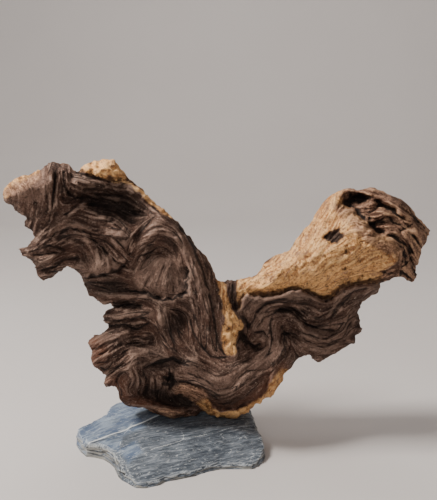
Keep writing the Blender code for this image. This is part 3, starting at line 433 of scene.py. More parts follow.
# Crusty sapwood, full of pits: the crown, the drip and the rim below it
CRUSTY_FRONT = [
    [(-94, 192), (-86, 205), (-62, 205), (-52, 184), (-60, 184), (-76, 187)],
    [(0, 100), (18, 100), (18, 84), (14, 66), (2, 66)],
    [(-16, 38), (-4, 20), (14, 18), (36, 32), (50, 54), (46, 64), (36, 58), (26, 40), (6, 30), (-6, 36)],
    [(-36, 50), (-8, 44), (-6, 34), (-36, 40)],
    [(-142, 170), (-138, 190), (-124, 196), (-113, 200), (-110, 190), (-118, 180), (-128, 172)],
]
# Small lumps that only the skin shows: height, x, z, half width, half height, turn in degrees
SMALL_FORMS = [
    (2.6, 9, 92, 4.5, 4, 0), (2.2, 6, 83, 3, 4, 0), (2.4, 12.5, 85, 3, 3.5, 0), (2.4, 8, 75, 4, 3.5, 0),
    (2.0, 11, 70, 3, 2.5, 0), (2.6, -28, 44.5, 3, 2.6, 0), (2.6, -21.5, 43.5, 3, 2.4, 0),
    (2.4, -16, 40.5, 3, 2.6, 0), (2.0, -11, 37.5, 2.5, 2, 0), (2.2, 38, 55.5, 3, 4, 30),
    (2.2, 41.5, 51, 2.5, 3, 0), (2.2, 37, 46, 2.5, 3, 0), (1.8, 0, 25, 3, 2, 0),
    (1.8, 12, 25.5, 4, 2, 0),
    (1.6, 24, 31, 3, 2, 40), (1.6, 32, 38, 3, 2, 50), (-2.2, 84, 140.5, 3.5, 2, 20),
    (-2.0, 94, 147, 2.4, 1.6, 0), (-2.0, 42, 130.5, 3, 1.6, 20), (-2.2, 23, 119, 3, 1.4, -10),
    (-1.8, 48, 124.5, 2.6, 1.4, 0), (-3.0, 7.6, 87.5, 1.6, 1.8, 0), (-2.5, -125, 176, 1.8, 1.2, 20),
    (-2.5, -119, 172, 2.2, 1.3, -10), (-2.2, -130, 172.5, 2.0, 1.2, 0), (-2.2, -112, 177, 1.4, 2.2, 0),
    (2.0, -86, 196, 4, 3, 0), (2.2, -74, 197, 4, 3, 0), (1.8, -66, 194, 4, 3, 0),
]

# Lines that the grain of the front follows, besides its ribs, clefts and ledges
FRONT_GRAIN = [
    [(-130, 186), (-123, 182), (-120, 172), (-123, 160)],
    [(-112, 195), (-114, 184), (-114, 173), (-119, 160), (-120, 151)],
    [(-106, 196), (-108, 182), (-106, 172), (-108, 162)],
    [(-99, 193), (-101, 182), (-103, 173)],
    [(-89, 186), (-80, 183), (-69, 183), (-58, 182), (-50, 177)],
    [(-93, 179), (-82, 174), (-70, 171), (-59, 168)],
    [(-88, 168), (-77, 165), (-66, 160), (-59, 153)],
    [(-120, 150), (-112, 154), (-103, 154), (-92, 150), (-85, 146), (-80, 136)],
    [(-120, 145), (-110, 149), (-100, 150), (-90, 146), (-87, 136), (-84, 129)],
    [(-129, 141), (-120, 142), (-111, 143), (-102, 140)],
    [(-117, 125), (-110, 131), (-100, 132), (-93, 131)],
    [(-51, 175), (-41, 166), (-30, 159), (-23, 149), (-15, 136), (-10, 121), (-6, 108), (-4, 94),
     (-3, 78),
     (3, 66)],
    [(-32, 160), (-23, 146), (-17, 131), (-12, 113), (-10, 98), (-8, 82), (-4, 70)],
    [(-41, 162), (-30, 153), (-23, 140), (-19, 127), (-16, 110), (-14, 92), (-12, 78)],
    [(-45, 153), (-35, 153), (-28, 147), (-25, 138), (-23, 127)],
    [(-56, 144), (-52, 149), (-45, 151)],
    [(-75, 125), (-64, 123), (-53, 117), (-42, 110), (-30, 108), (-23, 110)],
    [(-53, 110), (-42, 106), (-36, 94), (-35, 82), (-27, 70), (-16, 64)],
    [(-66, 102), (-53, 106), (-44, 100), (-40, 90), (-42, 78)],
    [(-72, 94), (-62, 94), (-53, 94), (-46, 90)],
    [(-86, 74), (-72, 82), (-59, 84), (-48, 84), (-42, 82)],
    [(-84, 64), (-72, 72), (-61, 78), (-50, 80)],
    [(-73, 52), (-67, 62), (-59, 68), (-48, 70)],
    [(-66, 34), (-58, 38), (-48, 36), (-38, 30), (-28, 27), (-20, 28)],
    [(-35, 62), (-24, 56), (-12, 50), (-1, 44), (13, 46), (22, 56), (30, 66), (39, 78), (42, 86)],
    [(-27, 52), (-16, 48), (-3, 40), (13, 40), (26, 50), (35, 64), (44, 76)],
    [(-26, 46), (-12, 40), (1, 34), (16, 36), (30, 46), (41, 62), (48, 74)],
    [(-4, 68), (7, 62), (18, 66), (27, 74), (35, 84), (36, 92)],
    [(16, 102), (23, 108), (33, 108), (42, 104), (51, 100), (61, 94), (70, 90), (82, 92), (91, 94)],
    [(22, 90), (25, 100), (33, 104), (42, 100), (54, 92), (65, 86), (78, 84), (91, 86)],
    [(42, 92), (52, 90), (59, 84), (71, 80), (82, 80), (91, 82)],
    [(44, 84), (52, 86), (59, 78), (69, 74), (78, 74), (88, 76)],
    [(50, 78), (60, 72), (69, 70)],
    [(18, 110), (27, 112), (38, 112), (49, 113), (59, 110), (68, 102), (79, 102), (92, 106), (103, 113)],
    [(21, 117), (40, 127), (54, 140), (63, 153), (72, 166), (79, 179)],
    [(33, 113), (49, 125), (64, 138), (76, 151), (86, 164)],
    [(55, 113), (69, 125), (84, 136), (96, 146), (107, 151)],
    [(74, 109), (88, 119), (103, 125), (114, 129)],
    [(84, 177), (97, 173), (110, 170), (121, 162), (131, 153)],
    [(92, 164), (103, 160), (116, 155), (127, 146)],
    [(100, 153), (111, 149), (120, 144), (130, 134)],
]
# The same for the back
BACK_GRAIN = [
    [(-60, 40), (-66, 60), (-76, 80), (-84, 100), (-96, 124), (-118, 132)],
    [(-44, 26), (-56, 64), (-70, 106), (-92, 146), (-124, 176)],
    [(-30, 26), (-46, 84), (-66, 134), (-88, 176), (-96, 194)],
    [(-20, 30), (-30, 80), (-46, 130), (-62, 170), (-72, 198)],
    [(-14, 50), (-20, 90), (-30, 130), (-46, 160), (-54, 182)],
    [(-2, 50), (-4, 80), (-8, 104), (-12, 136)],
    [(4, 30), (18, 74), (50, 108), (84, 134), (112, 148), (130, 158)],
    [(20, 30), (36, 66), (66, 96), (96, 116), (124, 126)],
    [(-8, 60), (16, 104), (44, 132), (66, 156), (86, 178)],
    [(36, 48), (56, 74), (80, 84), (96, 98)],
    [(62, 150), (80, 166), (104, 176), (122, 166)],
]
# Pale sapwood on the front
SAPWOOD_FRONT = [
    [(-145, 171), (-139, 188), (-126, 195), (-113, 201), (-112.5, 196), (-120, 189.5), (-128, 185.5),
     (-134, 181), (-138.5, 175)],
    [(-92, 195), (-86, 203), (-64, 204), (-56, 192), (-46, 181), (-53, 180.5), (-58, 184), (-65, 185.3),
     (-74, 186.5), (-80, 189.5), (-88, 192)],
    [(-56, 189), (-42, 178), (-34, 170), (-27, 163), (-31, 162.5), (-38, 167), (-47, 175), (-57, 184.5)],
    [(-2, 123), (3, 120), (6, 110), (8.5, 100), (10.5, 98), (14.5, 94), (17, 90), (16, 86), (13.2, 82),
     (12.6, 76),
     (13, 71), (11, 67), (6, 67.5), (3, 72), (2.5, 78), (3, 85), (4.8, 95), (4, 100), (2.5, 106),
     (0, 114)],
    [(11.5, 123), (12.5, 111), (12.8, 101), (15, 101), (15.5, 107), (18, 109), (24, 112), (30, 124),
     (20, 124)],
    [(14, 123), (24, 124), (31, 133), (43, 141.5), (46, 142), (55, 154), (61, 167), (70, 178), (80, 183),
     (84, 183), (82.5, 176), (82, 172), (89, 167), (94, 163.5), (98, 160), (101, 156), (106, 152),
     (112, 150.5),
     (117, 146.5), (119.5, 141), (119, 134), (116.5, 131), (112.5, 128.5), (109, 126.5), (109.5, 122),
     (107, 119),
     (104, 119.5), (98, 118.5), (92, 117), (86, 116), (80, 113), (76, 108), (72.5, 105), (69, 106),
     (65, 109),
     (60, 112), (54, 113.5), (48, 113), (42, 111), (36, 109), (30, 108.5), (25, 110.5), (20, 111),
     (15.5, 109.5)],
    [(-15, 34), (-10, 26), (-4, 20), (6, 18), (19, 21), (29, 29), (40, 38), (47, 50), (47, 58), (41, 58),
     (36.5, 48), (30, 39), (21, 32), (11, 27.2), (3, 26.6), (-4, 29.5), (-8, 36), (-11, 39)],
]
# Wood between the two: the broken end of the limb, the warty patch and the worn chin
BROWN_FRONT = [
    [(78, 177), (84, 171), (89, 168), (94, 164), (98, 160), (101, 156), (106, 152), (110, 151),
     (115, 148),
     (119, 144), (121, 140), (119, 134), (117, 131), (112, 128), (109, 127), (108, 122), (112, 116),
     (134, 116),
     (143, 152), (130, 172), (110, 184), (84, 188)],
    [(-34, 44), (-24, 48), (-15, 46), (-8, 42), (-8, 36), (-14, 33), (-19, 36), (-28, 38)],
    [(-46, 30), (-36, 30), (-24, 27), (-18, 24), (-22, 18), (-44, 18), (-52, 26)],
    [(-138, 182), (-128, 187), (-118, 191), (-112, 194), (-115, 188), (-124, 182), (-133, 178),
     (-141, 176)],
]
# Deep dark places: the knot, the slit by the fork, the pocket and the mouth of the hollow limb. They are
# sunk and keep no sapwood; the material darkens them further, which is painted shade in the slit, pocket
# and mouth, and the knot's own dark wood
DARK_FRONT = [
    [(69, 150.7), (71.2, 152), (72, 154), (74.2, 154), (75.4, 156.8), (77, 154.5), (79.4, 156.2),
     (80.2, 153.6),
     (82.4, 152.6), (84.9, 150.9), (81.9, 149.6), (81.4, 147.8), (79.4, 147.5), (77.9, 143),
     (76.2, 145.4),
     (74.2, 144.6), (73, 146.9), (70.6, 148)],
    [(13, 85), (14.5, 79), (20, 75), (26, 72.5), (30, 74), (26, 76), (20, 77.5), (17, 83)],
    [(88, 174), (89, 177), (93, 178.6), (99, 178), (104, 176.5), (99, 175), (95, 172.5), (91, 171.5)],
    [(-100, 193), (-97, 184), (-100, 178), (-95, 177), (-92, 184), (-95, 190)],
    [(-90, 191), (-80, 190.5), (-75, 187.5), (-66, 185), (-56, 184), (-60, 181), (-72, 182), (-84, 186)],
    [(38, 99), (44, 102), (52, 101), (58, 94), (52, 95), (46, 98.5)],
    [(-71, 106), (-60, 107), (-51, 104.5), (-53, 101.5), (-62, 102), (-70, 102)],
    [(-45, 44), (-36, 44), (-30, 40), (-26, 36), (-18, 36), (-18, 30), (-30, 29), (-42, 33)],
]
# Thin extra folds of the front, as ribs and clefts
FINE_RIBS = [
    (3.0, 1.6, [(-99, 190), (-97, 184), (-99, 179)]),
    (2.6, 1.5, [(-93, 184), (-88, 182), (-81, 183)]),
    (2.2, 1.4, [(-92, 178), (-84, 177), (-78, 175)]),
    (3.5, 1.8, [(-101, 162), (-96, 166), (-92, 170), (-86, 172)]),
    (-3.0, 1.2, [(-100, 165), (-95, 169), (-90, 173)]),
    (2.6, 1.5, [(-114, 152), (-104, 158.5), (-92, 159), (-84, 154)]),
    (2.4, 1.3, [(-108, 149), (-99, 153.5), (-90, 152.5), (-84, 148)]),
    (-2.2, 1.1, [(-104, 146), (-97, 149), (-91, 148)]),
    (3.4, 1.6, [(-83, 168), (-80, 165.5), (-75, 163.5)]),
    (2.2, 1.4, [(-126, 140), (-117, 141), (-108, 143)]),
    (-2.6, 1.2, [(-124, 138), (-114, 138.5), (-105, 139)]),
    (3.0, 1.7, [(-121, 131), (-112, 134), (-105, 139)]),
    (-3.2, 1.4, [(-113, 125), (-106, 127.5), (-101, 131)]),
    (3.0, 2.0, [(-80, 140), (-78, 132), (-80, 126)]),
    (-2.6, 1.2, [(-76, 127), (-75, 133), (-78, 139)]),
    (2.4, 1.6, [(-70, 148), (-66, 141), (-60, 136)]),
    (2.4, 1.5, [(-52, 137), (-46, 143.5), (-38, 145), (-31, 142)]),
    (-2.6, 1.2, [(-50, 133), (-44, 138.5), (-37, 140), (-30, 136)]),
    (-2.8, 1.1, [(-51, 150), (-44, 155.5), (-36, 157), (-28, 152.5), (-23, 144)]),
    (2.2, 1.2, [(-49, 147), (-42, 152.5), (-35, 154), (-28, 149), (-24, 141)]),
    (-2.6, 1.0, [(-47, 144), (-40, 149.5), (-34, 150), (-28, 144.5)]),
    (2.6, 1.4, [(-33, 132), (-36, 125), (-36, 117)]),
    (2.2, 1.2, [(-38, 130), (-40, 123), (-42, 116)]),
    (-2.2, 1.0, [(-47, 120), (-50, 114)]),
    (-2.2, 1.0, [(-30, 120), (-30, 113)]),
    (2.4, 1.4, [(-26, 150), (-20, 139), (-15, 127), (-11, 114)]),
    (-2.4, 1.0, [(-20, 134), (-16, 120), (-14, 106), (-13, 96)]),
    (2.2, 1.6, [(-8, 104), (-7, 92), (-6, 80)]),
    (-3.0, 1.2, [(-80, 113), (-72, 112), (-64, 114)]),
    (3.0, 1.8, [(-74, 109), (-66, 110), (-60, 108)]),
    (-3.0, 1.1, [(-74, 92), (-64, 93.5), (-55, 93), (-48, 95)]),
    (-2.6, 1.1, [(-82, 68), (-73, 72.5), (-66, 76)]),
    (2.6, 1.3, [(-83, 74), (-75, 79), (-66, 81)]),
    (-2.4, 1.1, [(-78, 57), (-70, 64), (-62, 70)]),
    (2.6, 1.4, [(-76, 53), (-69, 57), (-63, 57)]),
    (2.6, 1.4, [(-52, 72), (-44, 69), (-38, 65)]),
    (-2.4, 1.1, [(-44, 90), (-38, 82), (-33, 74), (-28, 70)]),
    (2.4, 1.3, [(-48, 94), (-42, 87), (-37, 78), (-32, 71)]),
    (2.6, 1.3, [(-56, 56), (-52, 50), (-54, 42)]),
    (-2.6, 1.1, [(-51, 56), (-48, 48), (-50, 40)]),
    (2.4, 1.1, [(-42, 52), (-39, 45), (-41, 38)]),
    (-2.0, 0.9, [(-26, 45), (-20, 44), (-14, 40)]),
    (2.6, 1.5, [(-26, 53), (-17, 51), (-8, 46), (0, 40), (9, 41.5), (15, 48), (22, 55)]),
    (2.0, 1.2, [(-22, 59), (-12, 55), (-2, 49.5), (6, 50), (13, 57), (22, 63), (32, 66)]),
    (-2.2, 1.0, [(-20, 61.5), (-10, 58), (-1, 53), (5, 54), (12, 60.5), (24, 67)]),
    (-2.4, 1.0, [(-3, 39.5), (6, 39), (13, 43), (20, 51), (32, 55), (38, 64)]),
    (-2.0, 0.9, [(0, 33), (8, 33), (16, 37), (24, 44), (32, 52)]),
    (2.4, 1.2, [(35, 60), (40, 66), (42, 74), (39, 82), (38, 90)]),
    (-2.6, 1.0, [(40, 61), (45, 67), (46, 74), (42, 82), (41, 91)]),
    (2.4, 1.2, [(20, 74), (24, 70.5), (30, 71.5), (35, 76), (34, 84)]),
    (2.6, 1.3, [(24, 88), (28, 96), (34, 101)]),
    (-2.4, 1.0, [(27, 88), (31, 95), (38, 98)]),
    (-3.0, 1.2, [(19, 88), (23, 97), (30, 103), (40, 105.5), (50, 106), (58, 103)]),
    (2.4, 1.4, [(22, 105), (32, 108), (44, 110)]),
    (2.6, 1.4, [(45, 94), (51, 97.5), (57, 92), (63, 88.5), (71, 88)]),
    (-2.4, 1.0, [(58, 90), (64, 88.8), (70, 88.4), (75, 91), (79, 98), (84, 105)]),
    (2.4, 1.2, [(60, 97), (66, 93.5), (72, 94), (76, 100), (80, 106)]),
    (-2.6, 1.0, [(52, 86), (57, 83.5), (64, 81.5), (72, 80), (79, 82.5), (84, 88), (88, 97)]),
    (2.4, 1.3, [(56, 82), (64, 79.5), (72, 78.5), (80, 81), (86, 87)]),
    (-2.4, 1.0, [(62, 73.5), (70, 73.5), (78, 76), (86, 79.5)]),
    (2.2, 1.2, [(64, 71), (72, 71), (80, 74)]),
    (-2.4, 1.1, [(45, 84), (50, 79), (56, 73)]),
    (-3.0, 1.2, [(83, 108), (90, 113), (98, 115.5)]),
    (-2.2, 1.0, [(84, 141), (88, 143), (93, 146.5)]),
    (-1.8, 1.0, [(52, 133), (58, 136), (62, 140)]),
    (-2.0, 1.0, [(30, 113), (38, 118), (46, 120)]),
    (3.0, 1.6, [(95, 172), (103, 175), (111, 171.5), (119, 166), (126, 161)]),
    (-3.5, 1.3, [(96, 168.5), (104, 170), (112, 167), (120, 163), (128, 159)]),
    (3.2, 1.5, [(103, 162), (112, 164.5), (120, 160), (127, 153), (132, 146)]),
    (-3.5, 1.3, [(106, 157), (114, 158.5), (120, 153), (125, 145), (128, 138)]),
    (3.0, 1.4, [(110, 153), (117, 154), (122, 147), (125, 138), (127, 130)]),
    (-3.0, 1.2, [(113, 150), (119, 147), (123, 139), (124, 131)]),
    (2.6, 1.4, [(128, 159), (133, 155), (136, 151)]),
]


class Attribute(str, Enum):
    """What the skin of a piece tells its material, from 0 to 1 at each point."""

    SAPWOOD = "sapwood"
    BROWN = "brown"
    RED = "red"
    GRAIN = "grain"
    BROAD = "broad"
    HOLLOW = "hollow"
    CRACK = "crack"
    TONE = "tone"
    STEEP = "steep"
    BLUE = "blue"


class Seed(IntEnum):
    """The seeds of the random patterns; one that is drawn for two axes takes the next number too."""

    LEAN = 1
    RAGGED = 5
    BACK_SWELL = 8
    FRONT_GRAIN = 11
    BACK_GRAIN = 23
    FRONT_FLAKES = 31
    PITS = 32
    BACK_CRACKS = 33
    BACK_FLAKES = 34
    CRUST = 35
    CRUST_HOLES = 36
    FRONT_SCALES = 37
    BACK_SCALES = 38
    BACK_PATCHES = 41
    LAYERS = 52
    CHIPS = 53
    SLATE_SKIN = 54
    LEAVES = 55
    LEAF_WAVES = 56
    SLATE_FRAY = 57
    VEINS = 59
    FRAY = 60
    FINE_FRAY = 62
    STRENGTH = 64


# Small tools


def activate(obj: bpy.types.Object) -> None:
    """Makes this the only selected object and the active one."""
    bpy.ops.object.select_all(action="DESELECT")
    obj.select_set(True)
    bpy.context.view_layer.objects.active = obj


def finish_with(obj: bpy.types.Object, kind: str, **settings: object) -> None:
    """Adds a modifier with these settings and applies it.

    Args:
        obj: the object that it works on.
        kind: the modifier's type.
        settings: its values by name.
    """
    activate(obj)
    modifier = obj.modifiers.new(kind.title(), kind)
    for name, value in settings.items():
        setattr(modifier, name, value)
    bpy.ops.object.modifier_apply(modifier=modifier.name)


def in_edit_mode(obj: bpy.types.Object) -> None:
    """Opens the object in edit mode with all of it selected."""
    activate(obj)
    bpy.ops.object.mode_set(mode="EDIT")
    bpy.ops.mesh.select_all(action="SELECT")


def coordinates(mesh: bpy.types.Mesh) -> np.ndarray:
    """The mesh's vertices in millimetres, one row for each."""
    flat = np.empty(len(mesh.vertices) * 3, np.float32)
    mesh.vertices.foreach_get("co", flat)
    return flat.reshape(-1, 3).astype(float) / MM


def directions(mesh: bpy.types.Mesh) -> np.ndarray:
    """The mesh's vertex normals, one row for each."""
    flat = np.empty(len(mesh.vertices) * 3, np.float32)
    mesh.vertices.foreach_get("normal", flat)
    return flat.reshape(-1, 3).astype(float)


def set_coordinates(mesh: bpy.types.Mesh, points: np.ndarray) -> None:
    """Moves the mesh's vertices to these places, in millimetres."""
    mesh.vertices.foreach_set("co", (points * MM).astype(np.float32).ravel())
    mesh.update()


def store(mesh: bpy.types.Mesh, name: Attribute, values: np.ndarray) -> None:
    """Keeps one value for each vertex under this name."""
    layer = mesh.attributes.new(name.value, "FLOAT", "POINT")
    layer.data.foreach_set("value", np.clip(values, 0, 1).astype(np.float32))


def smooth_step(value: np.ndarray, low: float, high: float) -> np.ndarray:
    """0 below low, 1 above high and a soft rise between them."""
    share = np.clip((value - low) / (high - low), 0, 1)
    return share * share * (3 - 2 * share)


def rounding(gap: np.ndarray, width: float | np.ndarray) -> np.ndarray:
    """How full a section is at this distance from its outline, as a quarter circle."""
    return np.sqrt(1 - (1 - np.minimum(gap / width, 1)) ** 2)


def sawn_blank(name: str, outline: Path, half: float, upright: bool) -> bpy.types.Object:
    """Saws a flat outline out of a board.

    Args:
        name: the piece's name.
        outline: its outline, in millimetres.
        half: half the board's thickness.
        upright: True for an outline on the upright sheet, False for one on the table.

    Returns:
        The closed blank as a mesh object at the origin.
    """
    curve = bpy.data.curves.new(name, "CURVE")
    curve.dimensions = "2D"
    curve.fill_mode = "BOTH"
    curve.extrude = half * MM
    spline = curve.splines.new("POLY")
    spline.points.add(len(outline) - 1)
    for point, (a, b) in zip(spline.points, outline):
        point.co = (a * MM, b * MM, 0.0, 1.0)
    spline.use_cyclic_u = True
    obj = bpy.data.objects.new(name, curve)
    obj.rotation_euler.x = math.pi / 2 if upright else 0.0
    bpy.context.scene.collection.objects.link(obj)
    activate(obj)
    bpy.ops.object.convert(target="MESH")
    bpy.ops.object.transform_apply(location=True, rotation=True, scale=True)
    in_edit_mode(obj)
    bpy.ops.mesh.remove_doubles(threshold=0.05 * MM)
    bpy.ops.mesh.normals_make_consistent(inside=False)
    bpy.ops.object.mode_set(mode="OBJECT")
    return obj


class Lumps:
    """Smooth seeded noise from -1 to 1 in three dimensions."""

    CELLS = 48  # the lattice repeats after this many cells
    SHIFT = 100.37  # keeps whole places off the lattice's corners
    ASIDE = 13.7  # how far each size is moved from the one before, in millimetres

    def __init__(self, seed: int) -> None:
        """Draws the lattice of this noise from its seed."""
        self.lattice = np.random.default_rng(seed).uniform(-1, 1, (self.CELLS,) * 3)

    def at(self, points: np.ndarray, size: float | tuple[float, ...]) -> np.ndarray:
        """The noise at these points.

        Args:
            points: places in millimetres, one row for each.
            size: how wide its lumps are, for all axes or for each.

        Returns:
            One value for each point.
        """
        scaled = points / np.asarray(size) + self.SHIFT
        cell = np.floor(scaled).astype(int)
        share = scaled - cell
        share = share**3 * (share * (share * 6 - 15) + 10)
        total = np.zeros(len(points))
        for corner in range(8):
            step = np.array((corner & 1, corner >> 1 & 1, corner >> 2 & 1))
            weight = np.prod(np.where(step, share, 1 - share), axis=1)
            i, j, k = ((cell + step) % self.CELLS).T
            total += weight * self.lattice[i, j, k]
        return total

    def rough(self, points: np.ndarray, size: float, octaves: int = 3) -> np.ndarray:
        """Several sizes of the noise on each other, each half as wide and half as high."""
        total = np.zeros(len(points))
        for octave in range(octaves):
            total += self.at(points + self.ASIDE * octave, size / 2**octave) / 2**octave
        return total


def flattened(places: np.ndarray) -> np.ndarray:
    """Places on a plane, with a third axis of zero, as noise reads them."""
    return np.column_stack((places, np.zeros(len(places))))


def nearest(
    places: np.ndarray, path: Path, closed: bool = False
) -> tuple[np.ndarray, np.ndarray, np.ndarray]:
    """Measures places against a path.

    Args:
        places: places in the path's plane, one row for each.
        path: the path's points.
        closed: whether its end joins its start.

    Returns:
        The distance of each place, the side that it is on (left is positive), and how far it lies
        past an open end.
    """
    corners = np.array(path, float)
    if closed:
        corners = np.vstack((corners, corners[:1]))
    best = np.full(len(places), np.inf)
    side = np.ones(len(places))
    past = np.zeros(len(places))
    last = len(corners) - 2
    for index, (start, stop) in enumerate(zip(corners[:-1], corners[1:])):
        run = stop - start
        offset = places - start
        share = offset @ run / (run @ run)
        gap = np.hypot(*(offset - np.clip(share, 0, 1)[:, None] * run).T)
        closer = gap < best
        best[closer] = gap[closer]
        side[closer] = np.sign(run[0] * offset[:, 1] - run[1] * offset[:, 0])[closer]
        over = np.zeros(len(places))
        if index == 0:
            over = np.maximum(over, -share)
        if index == last:
            over = np.maximum(over, share - 1)
        past[closer] = (over * np.hypot(*run))[closer]
    return best, side, past


def inside(places: np.ndarray, corners: Path) -> np.ndarray:
    """Whether each place lies in the polygon."""
    within = np.zeros(len(places), bool)
    for (ax, az), (bx, bz) in zip(corners, corners[1:] + corners[:1]):
        if az == bz:
            continue
        between = (places[:, 1] > az) != (places[:, 1] > bz)
        crossing = (bx - ax) * (places[:, 1] - az) / (bz - az) + ax
        within ^= between & (places[:, 0] < crossing)
    return within


def swelling(places: np.ndarray, form: tuple[float, ...]) -> np.ndarray:
    """The height that one swelling or hollow adds at each place."""
    height, x, z, half_width, half_height, turn = form
    cos, sin = math.cos(math.radians(turn)), math.sin(math.radians(turn))
    along = (places[:, 0] - x) * cos + (places[:, 1] - z) * sin
    across = -(places[:, 0] - x) * sin + (places[:, 1] - z) * cos
    reach = (along / half_width) ** 2 + (across / half_height) ** 2
    return height * np.exp(-(reach**FORM_FALL))


def ledge(places: np.ndarray, mark: tuple[float, float, Path]) -> np.ndarray:
    """The height that one ledge adds at each place: up on its left, down on its right."""
    height, reach, path = mark
    gap, side, past = nearest(places, path)
    fade = np.exp(-gap / reach) * np.exp(-((past / LEDGE_END) ** 2))
    return 0.5 * height * np.tanh(side * gap / LEDGE_EDGE) * fade


def patch(places: np.ndarray, polygons: list[Path], soft: float) -> np.ndarray:
    """A mask of these polygons at scattered places, with an edge this many millimetres soft."""
    total = np.zeros(len(places))
    for corners in polygons:
        gap = nearest(places, corners, closed=True)[0]
        signed = np.where(inside(places, corners), gap, -gap)
        total = np.maximum(total, smooth_step(signed, -soft, soft))
    return total


@dataclass
class Sheet:
    """The upright sheet as a fine grid, on which heights and masks are drawn."""

    low: tuple[float, float] = (-152.0, 2.0)
    high: tuple[float, float] = (152.0, 212.0)
    step: float = 0.42
    heading_step: float = 1.5
    line_blur: float = 3.0
    bends: tuple[tuple[float, float], ...] = ((0.28, 14.0), (0.20, 6.0), (0.10, 2.6))
    taper: float = 1.6
    shape: tuple[int, int] = field(init=False)
    places: np.ndarray = field(init=False)
    gap: np.ndarray = field(init=False)

    def __post_init__(self) -> None:
        """Lays out the grid and measures how far each place is from the outline."""
        xs = np.arange(self.low[0], self.high[0], self.step)
        zs = np.arange(self.low[1], self.high[1], self.step)
        self.shape = (len(zs), len(xs))
        across, up = np.meshgrid(xs, zs)
        self.places = np.column_stack((across.ravel(), up.ravel()))
        self.gap = nearest(self.places, OUTLINE, closed=True)[0]

    def read(self, values: np.ndarray, places: np.ndarray) -> np.ndarray:
        """The grid's values between its points, at other places."""
        column = np.clip((places[:, 0] - self.low[0]) / self.step, 0, self.shape[1] - 1.001)
        row = np.clip((places[:, 1] - self.low[1]) / self.step, 0, self.shape[0] - 1.001)
        i, j = row.astype(int), column.astype(int)
        u, v = row - i, column - j
        grid = values.reshape(self.shape)
        lower = grid[i, j] * (1 - v) + grid[i, j + 1] * v
        upper = grid[i + 1, j] * (1 - v) + grid[i + 1, j + 1] * v
        return lower * (1 - u) + upper * u

    def near(self, path: Path, reach: float) -> np.ndarray:
        """The numbers of the places in the path's box, widened by this reach."""
        corners = np.array(path)
        low, high = corners.min(0) - reach, corners.max(0) + reach
        return np.flatnonzero(((self.places > low) & (self.places < high)).all(1))

    def blurred(self, values: np.ndarray, radius: float) -> np.ndarray:
        """The values, softened over this many millimetres."""
        rows, columns = self.shape
        spread = radius / self.step
        fall = np.exp(-2 * (np.pi * spread * np.fft.fftfreq(rows * 2)) ** 2)[:, None]
        fall = fall * np.exp(-2 * (np.pi * spread * np.fft.rfftfreq(columns * 2)) ** 2)
        grid = values.reshape(self.shape)
        wide = np.pad(grid, ((0, rows), (0, columns)), mode="symmetric")
        return np.fft.irfft2(np.fft.rfft2(wide) * fall, wide.shape)[:rows, :columns].ravel()

    def area(self, polygons: list[Path], soft: float, places: np.ndarray | None = None) -> np.ndarray:
        """Draws a mask of polygons.

        Args:
            polygons: the areas, each as its corners.
            soft: how soft their edges are, in millimetres.
            places: the grid's places, moved a little where the edges are to be ragged.

        Returns:
            The mask on the grid, from 0 to 1.
        """
        mask = np.zeros(len(self.places))
        for corners in polygons:
            mask = np.maximum(mask, inside(self.places if places is None else places, corners))
        return self.blurred(mask, soft)

    def headings(self, lines: list[Path], waver: Lumps) -> np.ndarray:
        """The way that the grain runs at each place, carried over from the lines near it.

        Args:
            lines: given lines of grain.
            waver: noise that makes the grain wander a little.

        Returns:
            The angle at each place. The grain has no sense, so a half turn is the same.
        """
        wide = Sheet(step=self.heading_step)
        total = np.zeros((2, len(wide.places)))
        for line in lines:
            for start, stop in zip(line[:-1], line[1:]):
                run = np.subtract(stop, start)
                offset = wide.places - start
                share = np.clip(offset @ run / (run @ run), 0, 1)
                gap = np.hypot(*(offset - share[:, None] * run).T)
                weight = np.hypot(*run) / (gap**2 + self.line_blur) ** 1.5
                twice = 2 * math.atan2(run[1], run[0])
                total[0] += weight * math.cos(twice)
                total[1] += weight * math.sin(twice)
        total /= np.hypot(*total)
        flat = flattened(self.places)
        bend = sum(share * waver.at(flat, size) for share, size in self.bends)
        cosine, sine = (wide.read(part, self.places) for part in total)
        return 0.5 * np.arctan2(sine, cosine) + bend

    def streaks(self, heading: np.ndarray, values: np.ndarray, reach: float, stride: float) -> np.ndarray:
        """Draws a field out along the grain, as a brush would.

        Args:
            heading: the angle of the grain at each place.
            values: the field on the grid.
            reach: how far it is drawn out to each side, in millimetres.
            stride: the length of one step along the grain, in millimetres.

        Returns:
            The field, drawn out, with a mean of 0 and a spread of 1.
        """
        total = values.copy()
        count = int(reach / stride)
        for sense in (1.0, -1.0):
            place = self.places.copy()
            going = sense * np.column_stack((np.cos(heading), np.sin(heading)))
            for number in range(1, count + 1):
                place = place + going * stride
                column = np.clip((place[:, 0] - self.low[0]) / self.step, 0, self.shape[1] - 1)
                row = np.clip((place[:, 1] - self.low[1]) / self.step, 0, self.shape[0] - 1)
                angle = heading[row.round().astype(int) * self.shape[1] + column.round().astype(int)]
                turned = np.column_stack((np.cos(angle), np.sin(angle)))
                turned *= np.where((turned * going).sum(1) < 0, -1.0, 1.0)[:, None]
                going = turned
                weight = math.exp(-((self.taper * number / count) ** 2))
                total += weight * self.read(values, place)
        return (total - total.mean()) / total.std()


